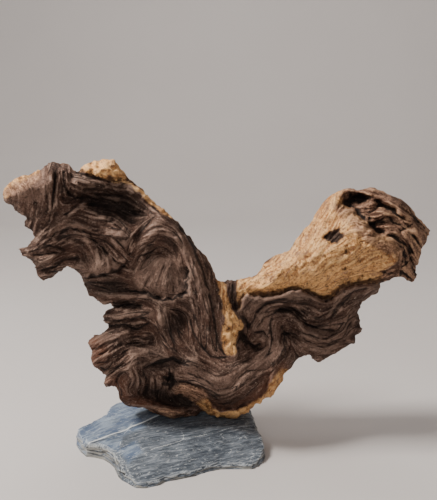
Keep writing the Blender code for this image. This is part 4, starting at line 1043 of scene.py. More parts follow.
@dataclass
class Grain:
    """The grain of one side of the root: fine fibres, folds and broad folds.

    Sizes are the radius of the noise that each is drawn from, and how far it is drawn out.
    """

    sheet: Sheet
    lines: list[Path]
    seed: int
    sizes: tuple[tuple[float, float], ...] = ((0.28, 6.0), (0.48, 12.0), (1.5, 26.0))
    line_width: float = 0.22
    crest_at: float = 0.3
    crest_width: float = 0.55
    fibre: np.ndarray = field(init=False)
    fold: np.ndarray = field(init=False)
    broad: np.ndarray = field(init=False)
    crest: np.ndarray = field(init=False)
    line: np.ndarray = field(init=False)

    def __post_init__(self) -> None:
        """Draws noise of three sizes out along the grain, and finds sharp crests and thin lines in it."""
        sheet = self.sheet
        heading = sheet.headings(self.lines, Lumps(self.seed))
        rng = np.random.default_rng(self.seed)
        self.fibre, self.fold, self.broad = (
            sheet.streaks(heading, self._speckled(rng, radius), reach, max(1.1 * sheet.step, 0.8 * radius))
            for radius, reach in self.sizes
        )
        flat = flattened(sheet.places)
        fading = smooth_step(Lumps(self.seed + 1).at(flat, 12.0), -0.2, 0.5)
        self.line = np.exp(-((self.broad / self.line_width) ** 2)) * fading
        self.crest = np.exp(-np.abs(self.fold - self.crest_at) / self.crest_width)

    def _speckled(self, rng: np.random.Generator, radius: float) -> np.ndarray:
        """Plain noise with lumps of this radius and a spread of 1."""
        values = self.sheet.blurred(rng.normal(size=len(self.sheet.places)), radius)
        return values / values.std()


# The pieces


@dataclass
class MopaniRoot:
    """The root: one body with a dark folded front and a pale back."""

    name: str = "mopani_root"
    slot: str = "mopani_wood"
    blank_half: float = 20.0
    rim_half: float = 3.2
    front_base: float = 14.0
    front_edge: float = 11.0
    front_lowest: float = -7.0
    rim_marks: float = 0.35
    rim_reach: float = 6.0
    rib_relief: float = 0.52
    cleft_relief: float = 0.72
    fine_relief: float = 0.8
    pocket_sink: float = 3.0
    tear: float = 1.8
    scale_rise: float = 0.9
    scale_slope: float = 0.5
    back_base: float = 12.0
    back_edge: float = 22.0
    back_lowest: float = 1.0
    rim_shift: float = 0.45
    tight_gain: float = 0.22
    wide_gain: float = 0.045
    pocket_shade_gain: float = 0.26
    skin: float = 0.85
    triangles: int = 194000
    seat: float = 14.3
    sheet: Sheet = field(default_factory=Sheet)

    def __post_init__(self) -> None:
        """Draws the heights and the masks of both sides."""
        sheet = self.sheet
        front_lines = FRONT_GRAIN + [path for *_, path in FRONT_RIBS + FRONT_LEDGES + FINE_RIBS]
        self.front_grain = Grain(sheet, front_lines, Seed.FRONT_GRAIN)
        back_lines = BACK_GRAIN + [path for *_, path in BACK_RIBS]
        self.back_grain = Grain(sheet, back_lines, Seed.BACK_GRAIN)
        flat = flattened(sheet.places)
        moves = [
            0.8 * Lumps(Seed.FRAY + axis).at(flat, 5.0) + 0.5 * Lumps(Seed.FINE_FRAY + axis).at(flat, 2.0)
            for axis in (0, 1)
        ]
        self.frayed = sheet.places + np.column_stack(moves)
        self.strength = 0.85 + 0.5 * Lumps(Seed.STRENGTH).at(flat, 6.0)
        ragged = Lumps(Seed.RAGGED).rough(flat, 5.0, 4)
        self.torn = torn = sheet.places + self.tear * (self.frayed - sheet.places)
        self.sapwood = smooth_step(sheet.area(SAPWOOD_FRONT, 0.5, torn) + 0.16 * ragged, 0.42, 0.58)
        self.crusty = sheet.area(CRUSTY_FRONT, 2.0)
        self.worn = 1 - 0.8 * self.crusty
        self.ribbed = sheet.area(RIBBED_FRONT, 4.0)
        self.calm = 0.5 + 0.5 * self.ribbed
        brown = sheet.area(BROWN_FRONT, 1.4) + 0.8 * sheet.area(BRUISED_FRONT, 1.6)
        self.brown = smooth_step(brown + 0.16 * ragged, 0.15, 0.85)
        self.dark = smooth_step(sheet.area(DARK_FRONT, 0.5, torn) + 0.14 * ragged, 0.3, 0.7)
        # The sapwood stops short of the first ledge's edge, so that the wall under the lip takes the darker
        # heartwood colour: painted shade under the lip. The deep dark places keep no sapwood.
        lip = nearest(torn, FRONT_LEDGES[0][2])[0]
        self.sapwood *= (1 - self.dark) * smooth_step(lip, 0.3, 1.1)
        self.red = sheet.area(REDDISH_FRONT, 2.0) + 0.2 * self.crusty
        # The tone mask: above a half it is paler, partly the wood's own flakes and partly painted light;
        # below a half it holds the painted shade of SHADED_FRONT
        flakes, shaded = sheet.area(FLAKES_AND_PAINTED_LIGHT_FRONT, 1.6), sheet.area(SHADED_FRONT, 3.2)
        self.tone = 0.5 + 0.5 * np.clip(flakes * (1 + 0.5 * ragged), 0, 1) - 0.5 * shaded
        self.depth = self._depth(flat)
        self.marks = self._front_marks()
        self.front = self._front_height()
        self.back = self._back_height(flat)
        self.front_fine = self._front_detail(flat)
        self.back_fine = self._back_detail(flat)
        self.crack = self._cracks()

    def _depth(self, flat: np.ndarray) -> np.ndarray:
        """How far the middle of the wood lies behind the sheet."""
        depth = LEAN_BASE + sum(swelling(self.sheet.places, form) for form in LEAN)
        return depth + 3.0 * Lumps(Seed.LEAN).at(flat, 42.0)

    def _rib(self, mark: tuple[float, float, Path], narrow: float = 0.6) -> np.ndarray:
        """The height that one rib or cleft of the front adds; a cleft is drawn narrower."""
        height, half_width, path = mark
        width, power = (half_width, 1.5) if height > 0 else (narrow * half_width, 1.3)
        rib = np.zeros(len(self.sheet.places))
        near = self.sheet.near(path, 3.5 * half_width)
        gap = nearest(self.frayed[near], path)[0]
        rib[near] = height * np.exp(-((gap / width) ** power)) * self.strength[near]
        return rib

    def _spine(self, mark: tuple[float, float, Path]) -> np.ndarray:
        """The height that one rounded spine or groove of the back adds."""
        height, half_width, path = mark
        return height * np.exp(-((nearest(self.sheet.places, path)[0] / half_width) ** 2))

    def _front_marks(self) -> np.ndarray:
        """All ribs and clefts of the front as one height."""
        marks = np.zeros(len(self.sheet.places))
        for mark in FRONT_RIBS:
            relief = self.rib_relief * self.calm if mark[0] > 0 else self.cleft_relief
            marks += relief * self._rib(mark)
        for mark in FINE_RIBS:
            marks += self.fine_relief * self.calm * self._rib(mark)
        for mark in CREVICES:
            marks += self._rib(mark, narrow=1.0)
        return marks

    def _front_height(self) -> np.ndarray:
        """How far the front stands out from the middle of the wood."""
        sheet = self.sheet
        self.forms = np.full(len(sheet.places), self.front_base)
        for form in FRONT_FORMS + SMALL_FORMS:
            self.forms += swelling(self.frayed, form)
        for mark in FRONT_LEDGES:
            self.forms += ledge(self.torn, mark)
        edge = np.minimum(1, self.rim_marks + sheet.gap / self.rim_reach)
        height = self.forms * rounding(sheet.gap, self.front_edge)
        height = height + edge * (self.marks - self.pocket_sink * self.dark)
        return np.maximum(height, self.front_lowest) + self.rim_half

    def _back_height(self, flat: np.ndarray) -> np.ndarray:
        """How far the back stands out from the middle of the wood."""
        height = np.full(len(flat), self.back_base)
        for form in BACK_FORMS:
            height += swelling(self.sheet.places, form)
        for mark in BACK_RIBS:
            height += self._spine(mark)
        height += 1.2 * Lumps(Seed.BACK_SWELL).rough(flat, 12.0)
        self.back_forms = height.copy()
        height *= rounding(self.sheet.gap, self.back_edge)
        return np.maximum(height, self.back_lowest) + self.rim_half

    def _front_detail(self, flat: np.ndarray) -> np.ndarray:
        """The grain of the front as a height: fibres, folds and open cracks along them."""
        grain = self.front_grain
        flakes = Lumps(Seed.FRONT_FLAKES).rough(flat, 3.4)
        pits = smooth_step(Lumps(Seed.PITS).at(flat, 2.3), 0.25, 0.65)
        level = 0.3 * (self.forms + self.marks) + 0.7 * grain.broad
        scales = self._scales(level + 1.3 * Lumps(Seed.FRONT_SCALES).rough(flat, 7.0))
        dark = 0.14 * grain.fibre + (0.5 + 0.8 * self.ribbed) * (grain.crest - 0.4) + 0.25 * grain.broad
        dark += (0.14 + 0.35 * self.ribbed) * flakes - 0.7 * grain.line + (0.5 + 0.5 * self.ribbed) * scales
        holes = smooth_step(Lumps(Seed.CRUST_HOLES).at(flat, 2.4), 0.05, 0.4)
        crust = Lumps(Seed.CRUST).rough(flat, 3.0) - 1.5 * holes
        pale = 0.2 * grain.fibre + 0.7 * self.worn * (grain.crest - 0.4) + 0.35 * grain.broad
        pale += 0.75 * flakes
        pale += 1.2 * self.crusty * crust - 1.0 * pits
        share = np.clip(self.sapwood + 0.25 * self.brown, 0, 1)
        return dark * (1 - share) + pale * share

    def _scales(self, level: np.ndarray) -> np.ndarray:
        """What it takes to turn a height into thin layers, one step below the other, on gentle slopes."""
        rows = level.reshape(self.sheet.shape)
        slope = np.hypot(*np.gradient(rows, self.sheet.step)).ravel()
        step = level / self.scale_rise
        whole = np.floor(step)
        stepped = self.scale_rise * (whole + smooth_step(step - whole, 0.6, 0.95))
        return (stepped - level + self.scale_rise / 4) / (1 + (slope / self.scale_slope) ** 4)

    def _back_detail(self, flat: np.ndarray) -> np.ndarray:
        """The grain of the back as a height: long soft fibres and a few open cracks."""
        grain = self.back_grain
        cracks = grain.line * smooth_step(Lumps(Seed.BACK_CRACKS).at(flat, 30.0), -0.1, 0.5)
        flakes = Lumps(Seed.BACK_FLAKES).rough(flat, 4.5)
        fine = 0.14 * grain.fibre + 0.6 * (grain.crest - 0.4) + 0.5 * grain.broad
        level = 0.3 * self.back_forms + 0.7 * grain.broad
        scales = self._scales(level + 1.3 * Lumps(Seed.BACK_SCALES).rough(flat, 8.0))
        return fine - 1.0 * cracks + 0.5 * flakes + 0.5 * scales

    def _cracks(self) -> np.ndarray:
        """How far each place of the front is from the nearest cleft, up to the clefts' reach."""
        crack = np.full(len(self.sheet.places), CRACK_REACH)
        for height, _, path in FRONT_RIBS + FINE_RIBS:
            if height < 0:
                near = self.sheet.near(path, 5.0)
                crack[near] = np.minimum(crack[near], nearest(self.frayed[near], path)[0])
        crack += 0.7 * np.maximum(0, 1 - self.strength)
        for _, half_width, path in CREVICES:
            near = self.sheet.near(path, 8.0)
            gap = nearest(self.frayed[near], path)[0] - 0.75 * half_width
            crack[near] = np.minimum(crack[near], np.maximum(gap, 0))
        return crack

    def on_sheet(self, points: np.ndarray) -> np.ndarray:
        """Takes points back along their lines of sight to places on the sheet."""
        share = -EYE[1] / (points[:, 1] - EYE[1])
        return EYE[(0, 2),] + (points[:, (0, 2)] - EYE[(0, 2),]) * share[:, None]

    def _carved(self, points: np.ndarray) -> np.ndarray:
        """Turns places on the blank into places on the root."""
        places = points[:, (0, 2)]
        level = np.clip(points[:, 1] / self.blank_half, -1, 1)
        read = self.sheet.read
        front, back = read(self.front, places), read(self.back, places)
        depth = read(self.depth, places) + np.where(level < 0, level * front, level * back)
        stretch = (depth - EYE[1]) / -EYE[1]
        flat = np.column_stack((places[:, 0], np.zeros(len(places)), places[:, 1]))
        return EYE + (flat - EYE) * stretch[:, None]

    def _with_feet(self, root: bpy.types.Object) -> None:
        """Joins the stubs that the root stands on, as one body with it."""
        for centre, halves, turn in FEET:
            bpy.ops.object.select_all(action="DESELECT")
            bpy.ops.mesh.primitive_uv_sphere_add(
                segments=48, ring_count=32, radius=MM, location=[value * MM for value in centre]
            )
            foot = bpy.context.object
            foot.scale = halves
            foot.rotation_euler.z = math.radians(turn)
            bpy.ops.object.transform_apply(location=True, rotation=True, scale=True)
            foot.select_set(True)
            root.select_set(True)
            bpy.context.view_layer.objects.active = root
            bpy.ops.object.join()

    def _front_share(self, points: np.ndarray, places: np.ndarray, shift: float = 0.0) -> np.ndarray:
        """1 on the front of the wood, 0 on its back, and a soft change along the rim.

        Args:
            points: places on the skin.
            places: the same places on the sheet.
            shift: how far the change lies towards the back, in halves of the wood's thickness.

        Returns:
            The share of each point.
        """
        front, back = self.sheet.read(self.front, places), self.sheet.read(self.back, places)
        middle = self.sheet.read(self.depth, places) + (back - front) / 2
        half = np.maximum((front + back) / 2, self.rim_half / 2)
        return smooth_step((middle - points[:, 1]) / half + shift, -0.4, 0.4)

    def _fitted(self, points: np.ndarray) -> np.ndarray:
        """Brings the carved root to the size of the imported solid."""
        low, high = (np.array(corner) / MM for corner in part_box("root"))
        least, most = points.min(0), points.max(0)
        fitted = points.copy()
        fitted[:, 0] = low[0] + (points[:, 0] - least[0]) * (high[0] - low[0]) / (most[0] - least[0])
        above = points[:, 2] > self.seat
        rise = (high[2] - self.seat) / (most[2] - self.seat)
        fitted[above, 2] = self.seat + (points[above, 2] - self.seat) * rise
        return fitted

    def _dress(self, mesh: bpy.types.Mesh, points: np.ndarray) -> None:
        """Stores the masks that the material reads."""
        places = self.on_sheet(points)
        share = self._front_share(points, places, shift=self.rim_shift)
        read = self.sheet.read
        front, back = self.front_grain, self.back_grain
        wide = Lumps(Seed.BACK_PATCHES).rough(points, 26.0)
        beard = smooth_step(-(places[:, 0] + 62) - 0.35 * (places[:, 1] - 90) + 9 * wide, 0, 8)
        pale = np.clip(1 - 0.95 * beard, 0, 1)
        store(mesh, Attribute.SAPWOOD, share * read(self.sapwood, places) + (1 - share) * pale)
        patches = 0.8 * smooth_step(wide, 0.35, 0.9)
        store(mesh, Attribute.BROWN, share * read(self.brown, places) + (1 - share) * patches)
        reach = (0.65 + 0.5 * self.ribbed) * self.worn
        grain = share * read(0.11 * front.fibre + 0.66 * (front.crest - 0.42) * reach, places)
        grain += (1 - share) * read(0.09 * back.fibre + 0.5 * (back.crest - 0.42), places)
        store(mesh, Attribute.GRAIN, 0.5 + grain)
        broad = share * read(front.broad, places) + (1 - share) * read(back.broad, places)
        store(mesh, Attribute.BROAD, 0.5 + 0.15 * broad)
        # How deep each place lies in a hollow and how high on a crest; the material paints shade into the
        # hollows and highlights onto the crests from this, partly dirt and wear
        hollows = []
        for height in (self.forms + self.marks + self.front_fine, self.back_forms + self.back_fine):
            tight = height - self.sheet.blurred(height, 1.3)
            wide_dip = height - self.sheet.blurred(height, 6.0)
            hollows.append(0.5 - self.tight_gain * tight - self.wide_gain * wide_dip)
        # painted shade in the deep dark places, besides the knot's own dark wood
        hollows[0] += self.pocket_shade_gain * self.dark
        in_front, behind = (read(hollow, places) for hollow in hollows)
        store(mesh, Attribute.HOLLOW, share * in_front + (1 - share) * behind)
        store(mesh, Attribute.CRACK, share * read(self.crack, places) / CRACK_REACH + (1 - share))
        store(mesh, Attribute.TONE, share * read(self.tone, places) + (1 - share) * 0.5)
        store(mesh, Attribute.RED, share * read(self.red, places))

    def build(self) -> bpy.types.Object:
        """Carves the root and gives it its skin.

        Returns:
            The finished piece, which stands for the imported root.
        """
        root = sawn_blank(self.name, OUTLINE, self.blank_half, upright=True)
        finish_with(root, "REMESH", mode="VOXEL", voxel_size=self.skin * MM)
        set_coordinates(root.data, self._carved(coordinates(root.data)))
        self._with_feet(root)
        finish_with(root, "REMESH", mode="VOXEL", voxel_size=self.skin * MM)
        finish_with(root, "SMOOTH", factor=0.5, iterations=1)
        points = coordinates(root.data)
        places = self.on_sheet(points)
        share = self._front_share(points, places)
        read = self.sheet.read
        rise = share * read(self.front_fine, places) + (1 - share) * read(self.back_fine, places)
        points = self._fitted(points + directions(root.data) * rise[:, None])
        set_coordinates(root.data, points)
        root.data.calc_loop_triangles()
        count = len(root.data.loop_triangles)
        log.info("root skin: %d triangles", count)
        if count > self.triangles:
            finish_with(root, "DECIMATE", ratio=self.triangles / count)
        in_edit_mode(root)
        bpy.ops.mesh.bisect(
            plane_co=(0, 0, self.seat * MM), plane_no=(0, 0, 1), use_fill=True, clear_inner=True
        )
        bpy.ops.object.mode_set(mode="OBJECT")
        self._dress(root.data, coordinates(root.data))
        activate(root)
        bpy.ops.object.shade_smooth()
        root.data.materials.clear()
        root.data.materials.append(MopaniFinish().material())
        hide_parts("root")
        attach(root, "root")
        return root


@dataclass
class SlatePlate:
    """The plate: a slab split along its layers, with a long front bevel and chipped edges."""

    name: str = "slate_slab"
    slot: str = "slate"
    thickness: float = 14.0
    below: float = 3.0
    skin: float = 0.62
    layer: float = 0.8
    edge_drop: float = 3.0
    edge_share: float = 0.35
    middle: tuple[float, float] = (-35.0, 0.0)
    chip_reach: float = 1.6
    seat_gap: float = 0.05
    seat_fade: float = 4.0
    bend_gain: float = 2.6
    smooth_below: float = 55.0

    def _levels(self, places: np.ndarray) -> np.ndarray:
        """The height of the upper face before it splits into layers."""
        total = np.zeros(len(places))
        weight = np.full(len(places), 1e-9)
        for x, y, height, reach in PLATE_LEVELS:
            share = np.exp(-(((places[:, 0] - x) ** 2 + (places[:, 1] - y) ** 2) / (2 * reach**2)))
            total += share * height
            weight += share
        return total / weight

    def _along(self, flat: np.ndarray) -> np.ndarray:
        """Places turned so that the first axis runs along the slate's streaks."""
        cos, sin = math.cos(math.radians(SLATE_STREAK)), math.sin(math.radians(SLATE_STREAK))
        turned = flat.copy()
        turned[:, 0] = cos * flat[:, 0] + sin * flat[:, 1]
        turned[:, 1] = cos * flat[:, 1] - sin * flat[:, 0]
        return turned

    def _frayed(self, flat: np.ndarray) -> np.ndarray:
        """Places moved a little, so that splits aren't drawn with a ruler."""
        moves = [0.3 * Lumps(Seed.SLATE_FRAY + axis).rough(flat, 4.0) for axis in (0, 1)]
        return flat[:, :2] + np.column_stack(moves)

    def _layered(self, height: np.ndarray, flat: np.ndarray, gap: np.ndarray) -> np.ndarray:
        """Breaks a sloping face into thin layers, one step below the other, most of all at its edge."""
        uneven = height + 0.6 * Lumps(Seed.LAYERS).rough(flat * (0.22, 1.0, 1.0), 5.0)
        step = uneven / self.layer
        whole = np.floor(step)
        stepped = self.layer * (whole + smooth_step(step - whole, 0.55, 1.0))
        slope = smooth_step(self.thickness - height, 0.3, 1.6) * (1 - 0.8 * smooth_step(gap, 1.5, 5.0))
        return height * (1 - slope) + stepped * slope

    def build(self) -> bpy.types.Object:
        """Splits, chips and bores the plate.

        Returns:
            The finished piece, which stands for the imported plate.
        """
        half = (self.thickness + self.below) / 2
        plate = sawn_blank(self.name, PLATE_OUTLINE, half, upright=False)
        finish_with(plate, "REMESH", mode="VOXEL", voxel_size=self.skin * MM)
        points = coordinates(plate.data)
        places = points[:, :2].copy()
        flat = flattened(places)
        height = points[:, 2] + half - self.below
        share = np.clip(height / self.thickness, 0, 1)
        gap = nearest(places, PLATE_OUTLINE, closed=True)[0]
        top = self._levels(places)
        frayed = self._frayed(flat)
        for mark in PLATE_STEPS:
            top += ledge(frayed, mark)
        top = np.minimum(top, self.thickness)
        edge = np.maximum(2.2 + 1.6 * Lumps(Seed.CHIPS).rough(flat, 9.0), 0.8)
        top -= np.minimum(self.edge_drop, self.edge_share * top) * (1 - rounding(gap, edge))
        top = self._layered(top, self._along(flat), gap)
        top += 0.22 * Lumps(Seed.SLATE_SKIN).rough(self._along(flat) * (0.25, 1.0, 1.0), 2.6)
        seat = np.zeros(len(places))
        for centre, halves, _ in FEET:
            reach = np.hypot(places[:, 0] - centre[0], places[:, 1] - centre[1])
            fade = smooth_step(reach, halves[0] - self.seat_fade, halves[0] + self.seat_fade)
            seat = np.maximum(seat, 1 - fade)
        top = top * (1 - seat) + np.minimum(top, self.thickness - self.seat_gap) * seat
        top = np.minimum(top, self.thickness)
        points[:, 2] = np.where(height > 0, share * top, height)
        side = points * (0.22, 0.22, 1.0)
        leaf = 1.3 * Lumps(Seed.LEAVES).rough(side, 1.5, 2)
        leaf += 0.7 * Lumps(Seed.LEAF_WAVES).rough(points, 5.0)
        inward = share * np.exp(-gap / self.chip_reach) * (1.1 + 0.9 * leaf)
        away = places - np.array(self.middle)
        away /= np.hypot(*away.T)[:, None]
        points[:, :2] -= away * inward[:, None]
        set_coordinates(plate.data, points)
        in_edit_mode(plate)
        bpy.ops.mesh.bisect(plane_co=(0, 0, 0), plane_no=(0, 0, 1), use_fill=True, clear_inner=True)
        bpy.ops.object.mode_set(mode="OBJECT")
        self._bore(plate)
        self._dress(plate)
        activate(plate)
        bpy.ops.object.shade_smooth_by_angle(angle=math.radians(self.smooth_below))
        plate.data.materials.clear()
        plate.data.materials.append(SlateFinish().material())
        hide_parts("slate_plate")
        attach(plate, "root")
        return plate

    def _bore(self, plate: bpy.types.Object) -> None:
        """Cuts the two countersunk holes for the screws."""
        screw = FixingScrew()
        for place in SCREW_PLACES:
            tool = screw.turned("bore", place, clearance=screw.bore_clearance)
            finish_with(plate, "BOOLEAN", operation="DIFFERENCE", solver="EXACT", object=tool)
            bpy.data.objects.remove(tool, do_unlink=True)

    def _dress(self, plate: bpy.types.Object) -> None:
        """Stores how hollow or raised each place is, and how steep."""
        points = coordinates(plate.data)
        normals = directions(plate.data)
        level = np.clip((self.thickness - points[:, 2]) / self.thickness, 0, 1)
        shape = bmesh.new()
        shape.from_mesh(plate.data)
        bend = np.zeros(len(shape.verts))
        for vert in shape.verts:
            edges = vert.link_edges
            if not edges:
                continue
            around = sum((edge.other_vert(vert).co for edge in edges), Vector()) / len(edges)
            bend[vert.index] = (around - vert.co).dot(vert.normal) / MM
        shape.free()
        # the material paints shade into the hollows and highlights onto the raised edges from this, partly
        # dirt and dust
        store(plate.data, Attribute.HOLLOW, 0.5 + self.bend_gain * bend)
        store(plate.data, Attribute.GRAIN, level)
        store(plate.data, Attribute.STEEP, 1 - np.clip(normals[:, 2], 0, 1))
        flat = flattened(points[:, :2])
        frayed = self._frayed(flat)
        store(plate.data, Attribute.BLUE, patch(frayed, PLATE_BLUE, 2.0))
        line = nearest(frayed, PLATE_LINES[0])[0]
        faint = 0.17 + 0.5 * smooth_step(Lumps(Seed.VEINS).at(flat, 5.0), -0.1, 0.6)
        for path in PLATE_LINES[1:]:
            line = np.minimum(line, nearest(frayed, path)[0] + faint)
        store(plate.data, Attribute.CRACK, line / CRACK_REACH)


@dataclass
class FixingScrew:
    """A countersunk steel wood screw with a cross recess, driven up through the plate."""

    shank: float = 2.0
    head: float = 4.1
    head_depth: float = 2.6
    length: float = 34.0
    recess: float = 0.6
    point: float = 4.5
    tip: float = 0.12
    rounded: float = 0.25
    rounded_rise: float = 0.2
    cross_reach: float = 1.05
    cross_width: float = 0.75
    cross_depth: float = 2.6
    bore_clearance: float = 0.3
    bore_overrun: float = 3.0
    smooth_below: float = 30.0
    steps: int = 40

    def turned(self, name: str, place: tuple[float, float], clearance: float = 0.0) -> bpy.types.Object:
        """Turns the screw's body, or the tool that bores its hole.

        Args:
            name: the object's name.
            place: where it stands, seen from above.
            clearance: how much wider the hole is than the screw; 0 makes the screw.

        Returns:
            The turned object.
        """
        low = self.recess - (self.bore_overrun if clearance else 0.0)
        top = self.recess + self.length + clearance
        shank, head = self.shank + clearance, self.head + clearance
        rings = [(head, low), (head, self.recess), (shank, self.recess + self.head_depth)]
        rings += [(shank, top - self.point), (self.tip, top)]
        if not clearance:
            rings = [(head - self.rounded, low), (head, low + self.rounded_rise), *rings[2:]]
        steps = self.steps
        shape = bmesh.new()
        circles = []
        for radius, height in rings:
            circle = [
                shape.verts.new(
                    (
                        (place[0] + radius * math.cos(math.tau * i / steps)) * MM,
                        (place[1] + radius * math.sin(math.tau * i / steps)) * MM,
                        height * MM,
                    )
                )
                for i in range(steps)
            ]
            circles.append(circle)
        shape.faces.new(circles[0][::-1])
        shape.faces.new(circles[-1])
        for lower, upper in zip(circles, circles[1:]):
            for i in range(steps):
                j = (i + 1) % steps
                shape.faces.new((lower[i], lower[j], upper[j], upper[i]))
        mesh = bpy.data.meshes.new(name)
        shape.to_mesh(mesh)
        shape.free()
        obj = bpy.data.objects.new(name, mesh)
        bpy.context.scene.collection.objects.link(obj)
        return obj

    def _cross(self, screw: bpy.types.Object, place: tuple[float, float]) -> None:
        """Sinks the cross that the driver turns into the head."""
        for turn in (0.0, math.pi / 2):
            bpy.ops.object.select_all(action="DESELECT")
            bpy.ops.mesh.primitive_cube_add(
                size=MM, location=(place[0] * MM, place[1] * MM, self.recess * MM), rotation=(0, 0, turn)
            )
            bar = bpy.context.object
            bar.scale = (self.head * self.cross_reach, self.cross_width, self.cross_depth)
            finish_with(screw, "BOOLEAN", operation="DIFFERENCE", solver="EXACT", object=bar)
            bpy.data.objects.remove(bar, do_unlink=True)

    def build(self, number: int, place: tuple[float, float]) -> bpy.types.Object:
        """Makes one screw.

        Args:
            number: which of the two screws it is.
            place: where it stands, seen from above.

        Returns:
            The finished piece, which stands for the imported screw.
        """
        screw = self.turned(f"fixing_screw_{number}", place)
        self._cross(screw, place)
        activate(screw)
        bpy.ops.object.shade_smooth_by_angle(angle=math.radians(self.smooth_below))
        screw.data.materials.clear()
        screw.data.materials.append(SteelFinish().material())
        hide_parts(f"screw_{number}")
        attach(screw, "root")
        return screw


# Finishes


# A window: a pattern's value where a colour starts to show and where it is full, and how much of the
# colour shows at the one and at the other
Window = tuple[float, float, float, float]


def shade(red: int, green: int, blue: int) -> tuple[float, float, float, float]:
    """A colour as it is picked on a screen, made linear for a shader."""
    linear = []
    for value in (red, green, blue):
        part = value / 255
        linear.append(part / 12.92 if part <= 0.04045 else ((part + 0.055) / 1.055) ** 2.4)
    return (*linear, 1.0)


class Bench:
    """Sets out shader nodes and joins them."""

    def __init__(self, tree: bpy.types.NodeTree) -> None:
        """Works on this node tree."""
        self.tree = tree

    def node(self, kind: str, inputs: dict | None = None, **settings: object) -> bpy.types.Node:
        """Adds a node.

        Args:
            kind: its type.
            inputs: a value or a socket for each of its inputs, by name or number.
            settings: its other settings.

        Returns:
            The node.
        """
        made = self.tree.nodes.new(kind)
        for name, value in settings.items():
            setattr(made, name, value)
        for name, value in (inputs or {}).items():
            if isinstance(value, bpy.types.NodeSocket):
                self.tree.links.new(value, made.inputs[name])
            else:
                made.inputs[name].default_value = value
        return made

    def sum(self, operation: str, first: object, second: object = 0.0) -> object:
        """A value worked out from two others."""
        return self.node("ShaderNodeMath", {0: first, 1: second}, operation=operation).outputs[0]

    def blend(self, share: object, first: object, second: object) -> object:
        """A colour between two others."""
        inputs = {0: share, 6: first, 7: second}
        return self.node("ShaderNodeMix", inputs, data_type="RGBA", clamp_factor=True).outputs[2]

    def ramp(self, value: object, stops: list[tuple[float, tuple]]) -> object:
        """Colours at places from 0 to 1, and what lies between them at this value."""
        made = self.node("ShaderNodeValToRGB", {0: value})
        band = made.color_ramp
        for number, (place, colour) in enumerate(stops):
            stop = band.elements[number] if number < 2 else band.elements.new(place)
            stop.position = place
            stop.color = colour
        return made.outputs[0]

    def spread(
        self, value: object, low: float, high: float, least: float = 0.0, most: float = 1.0
    ) -> object:
        """Takes a value from one range softly to another."""
        inputs = {0: value, 1: low, 2: high, 3: least, 4: most}
        return self.node("ShaderNodeMapRange", inputs, interpolation_type="SMOOTHSTEP").outputs[0]

    def noise(self, place: object, size: float, detail: float = 3.0, rough: float = 0.55) -> object:
        """Noise whose lumps are about this many millimetres across."""
        inputs = {"Vector": place, "Scale": 1 / (size * MM), "Detail": detail, "Roughness": rough}
        return self.node("ShaderNodeTexNoise", inputs).outputs[0]

    def stretched(self, place: object, reach: tuple[float, float, float], turn: float = 0.0) -> object:
        """Places for a pattern that is turned about the upright axis and drawn out along its axes."""
        inputs = {"Vector": place, "Rotation": (0.0, 0.0, math.radians(turn)), "Scale": reach}
        return self.node("ShaderNodeMapping", inputs, vector_type="TEXTURE").outputs[0]

    def mixed(self, parts: list[tuple[float, object]]) -> object:
        """The sum of values, each with its share."""
        total = 0.0
        for share, value in parts:
            total = self.node(
                "ShaderNodeMath", {0: value, 1: share, 2: total}, operation="MULTIPLY_ADD"
            ).outputs[0]
        return total

    def attribute(self, name: Attribute) -> object:
        """A value that the skin of the piece holds."""
        return self.node("ShaderNodeAttribute", attribute_name=name.value).outputs["Fac"]

    def stain(self, under: object, colour: object, mask: object, most: object) -> object:
        """Lays a colour over another where a mask shows, at this share of the mask."""
        return self.blend(self.sum("MULTIPLY", mask, most), under, colour)

    def shown(self, under: object, colour: object, value: object, window: Window) -> object:
        """Lays a colour over another as far as a window shows this value."""
        return self.blend(self.spread(value, *window), under, colour)

    def near_half(self, value: object, window: Window) -> object:
        """What a window shows of a value's distance from a half."""
        return self.spread(self.sum("ABSOLUTE", self.sum("SUBTRACT", value, 0.5)), *window)

    def bump(self, height: object, strength: float, relief: float) -> object:
        """The normal of a surface that rises by this height times the relief, in millimetres."""
        inputs = {"Strength": strength, "Distance": relief * MM, "Height": height}
        return self.node("ShaderNodeBump", inputs).outputs[0]

    def group(self, tree: bpy.types.NodeTree, inputs: dict) -> bpy.types.Node:
        """Places a node group with its own values."""
        return self.node("ShaderNodeGroup", inputs, node_tree=tree)


@dataclass(frozen=True)
class Pattern:
    """A noise, and the window in which it shows.

    Its numbers are how wide its lumps are in millimetres, its detail and roughness, and how far it
    is drawn out along each axis, after a turn in degrees about the upright one.
    """

    size: float
    detail: float = 3.0
    rough: float = 0.55
    window: Window = (0.0, 1.0, 0.0, 1.0)
    reach: tuple[float, float, float] | None = None
    turn: float = 0.0

    def value(self, bench: Bench, place: object) -> object:
        """The plain noise at this place."""
        where = place if self.reach is None else bench.stretched(place, self.reach, self.turn)
        return bench.noise(where, self.size, self.detail, self.rough)

    def shown(self, bench: Bench, place: object) -> object:
        """How much of it shows at this place."""
        return bench.spread(self.value(bench, place), *self.window)


def new_group(name: str, inputs: dict[str, str], outputs: dict[str, str]) -> bpy.types.NodeTree:
    """Starts a shader node group with these sockets."""
    tree = bpy.data.node_groups.new(name, "ShaderNodeTree")
    for label, kind in inputs.items():
        tree.interface.new_socket(label, in_out="INPUT", socket_type=f"NodeSocket{kind}")
    for label, kind in outputs.items():
        tree.interface.new_socket(label, in_out="OUTPUT", socket_type=f"NodeSocket{kind}")
    return tree


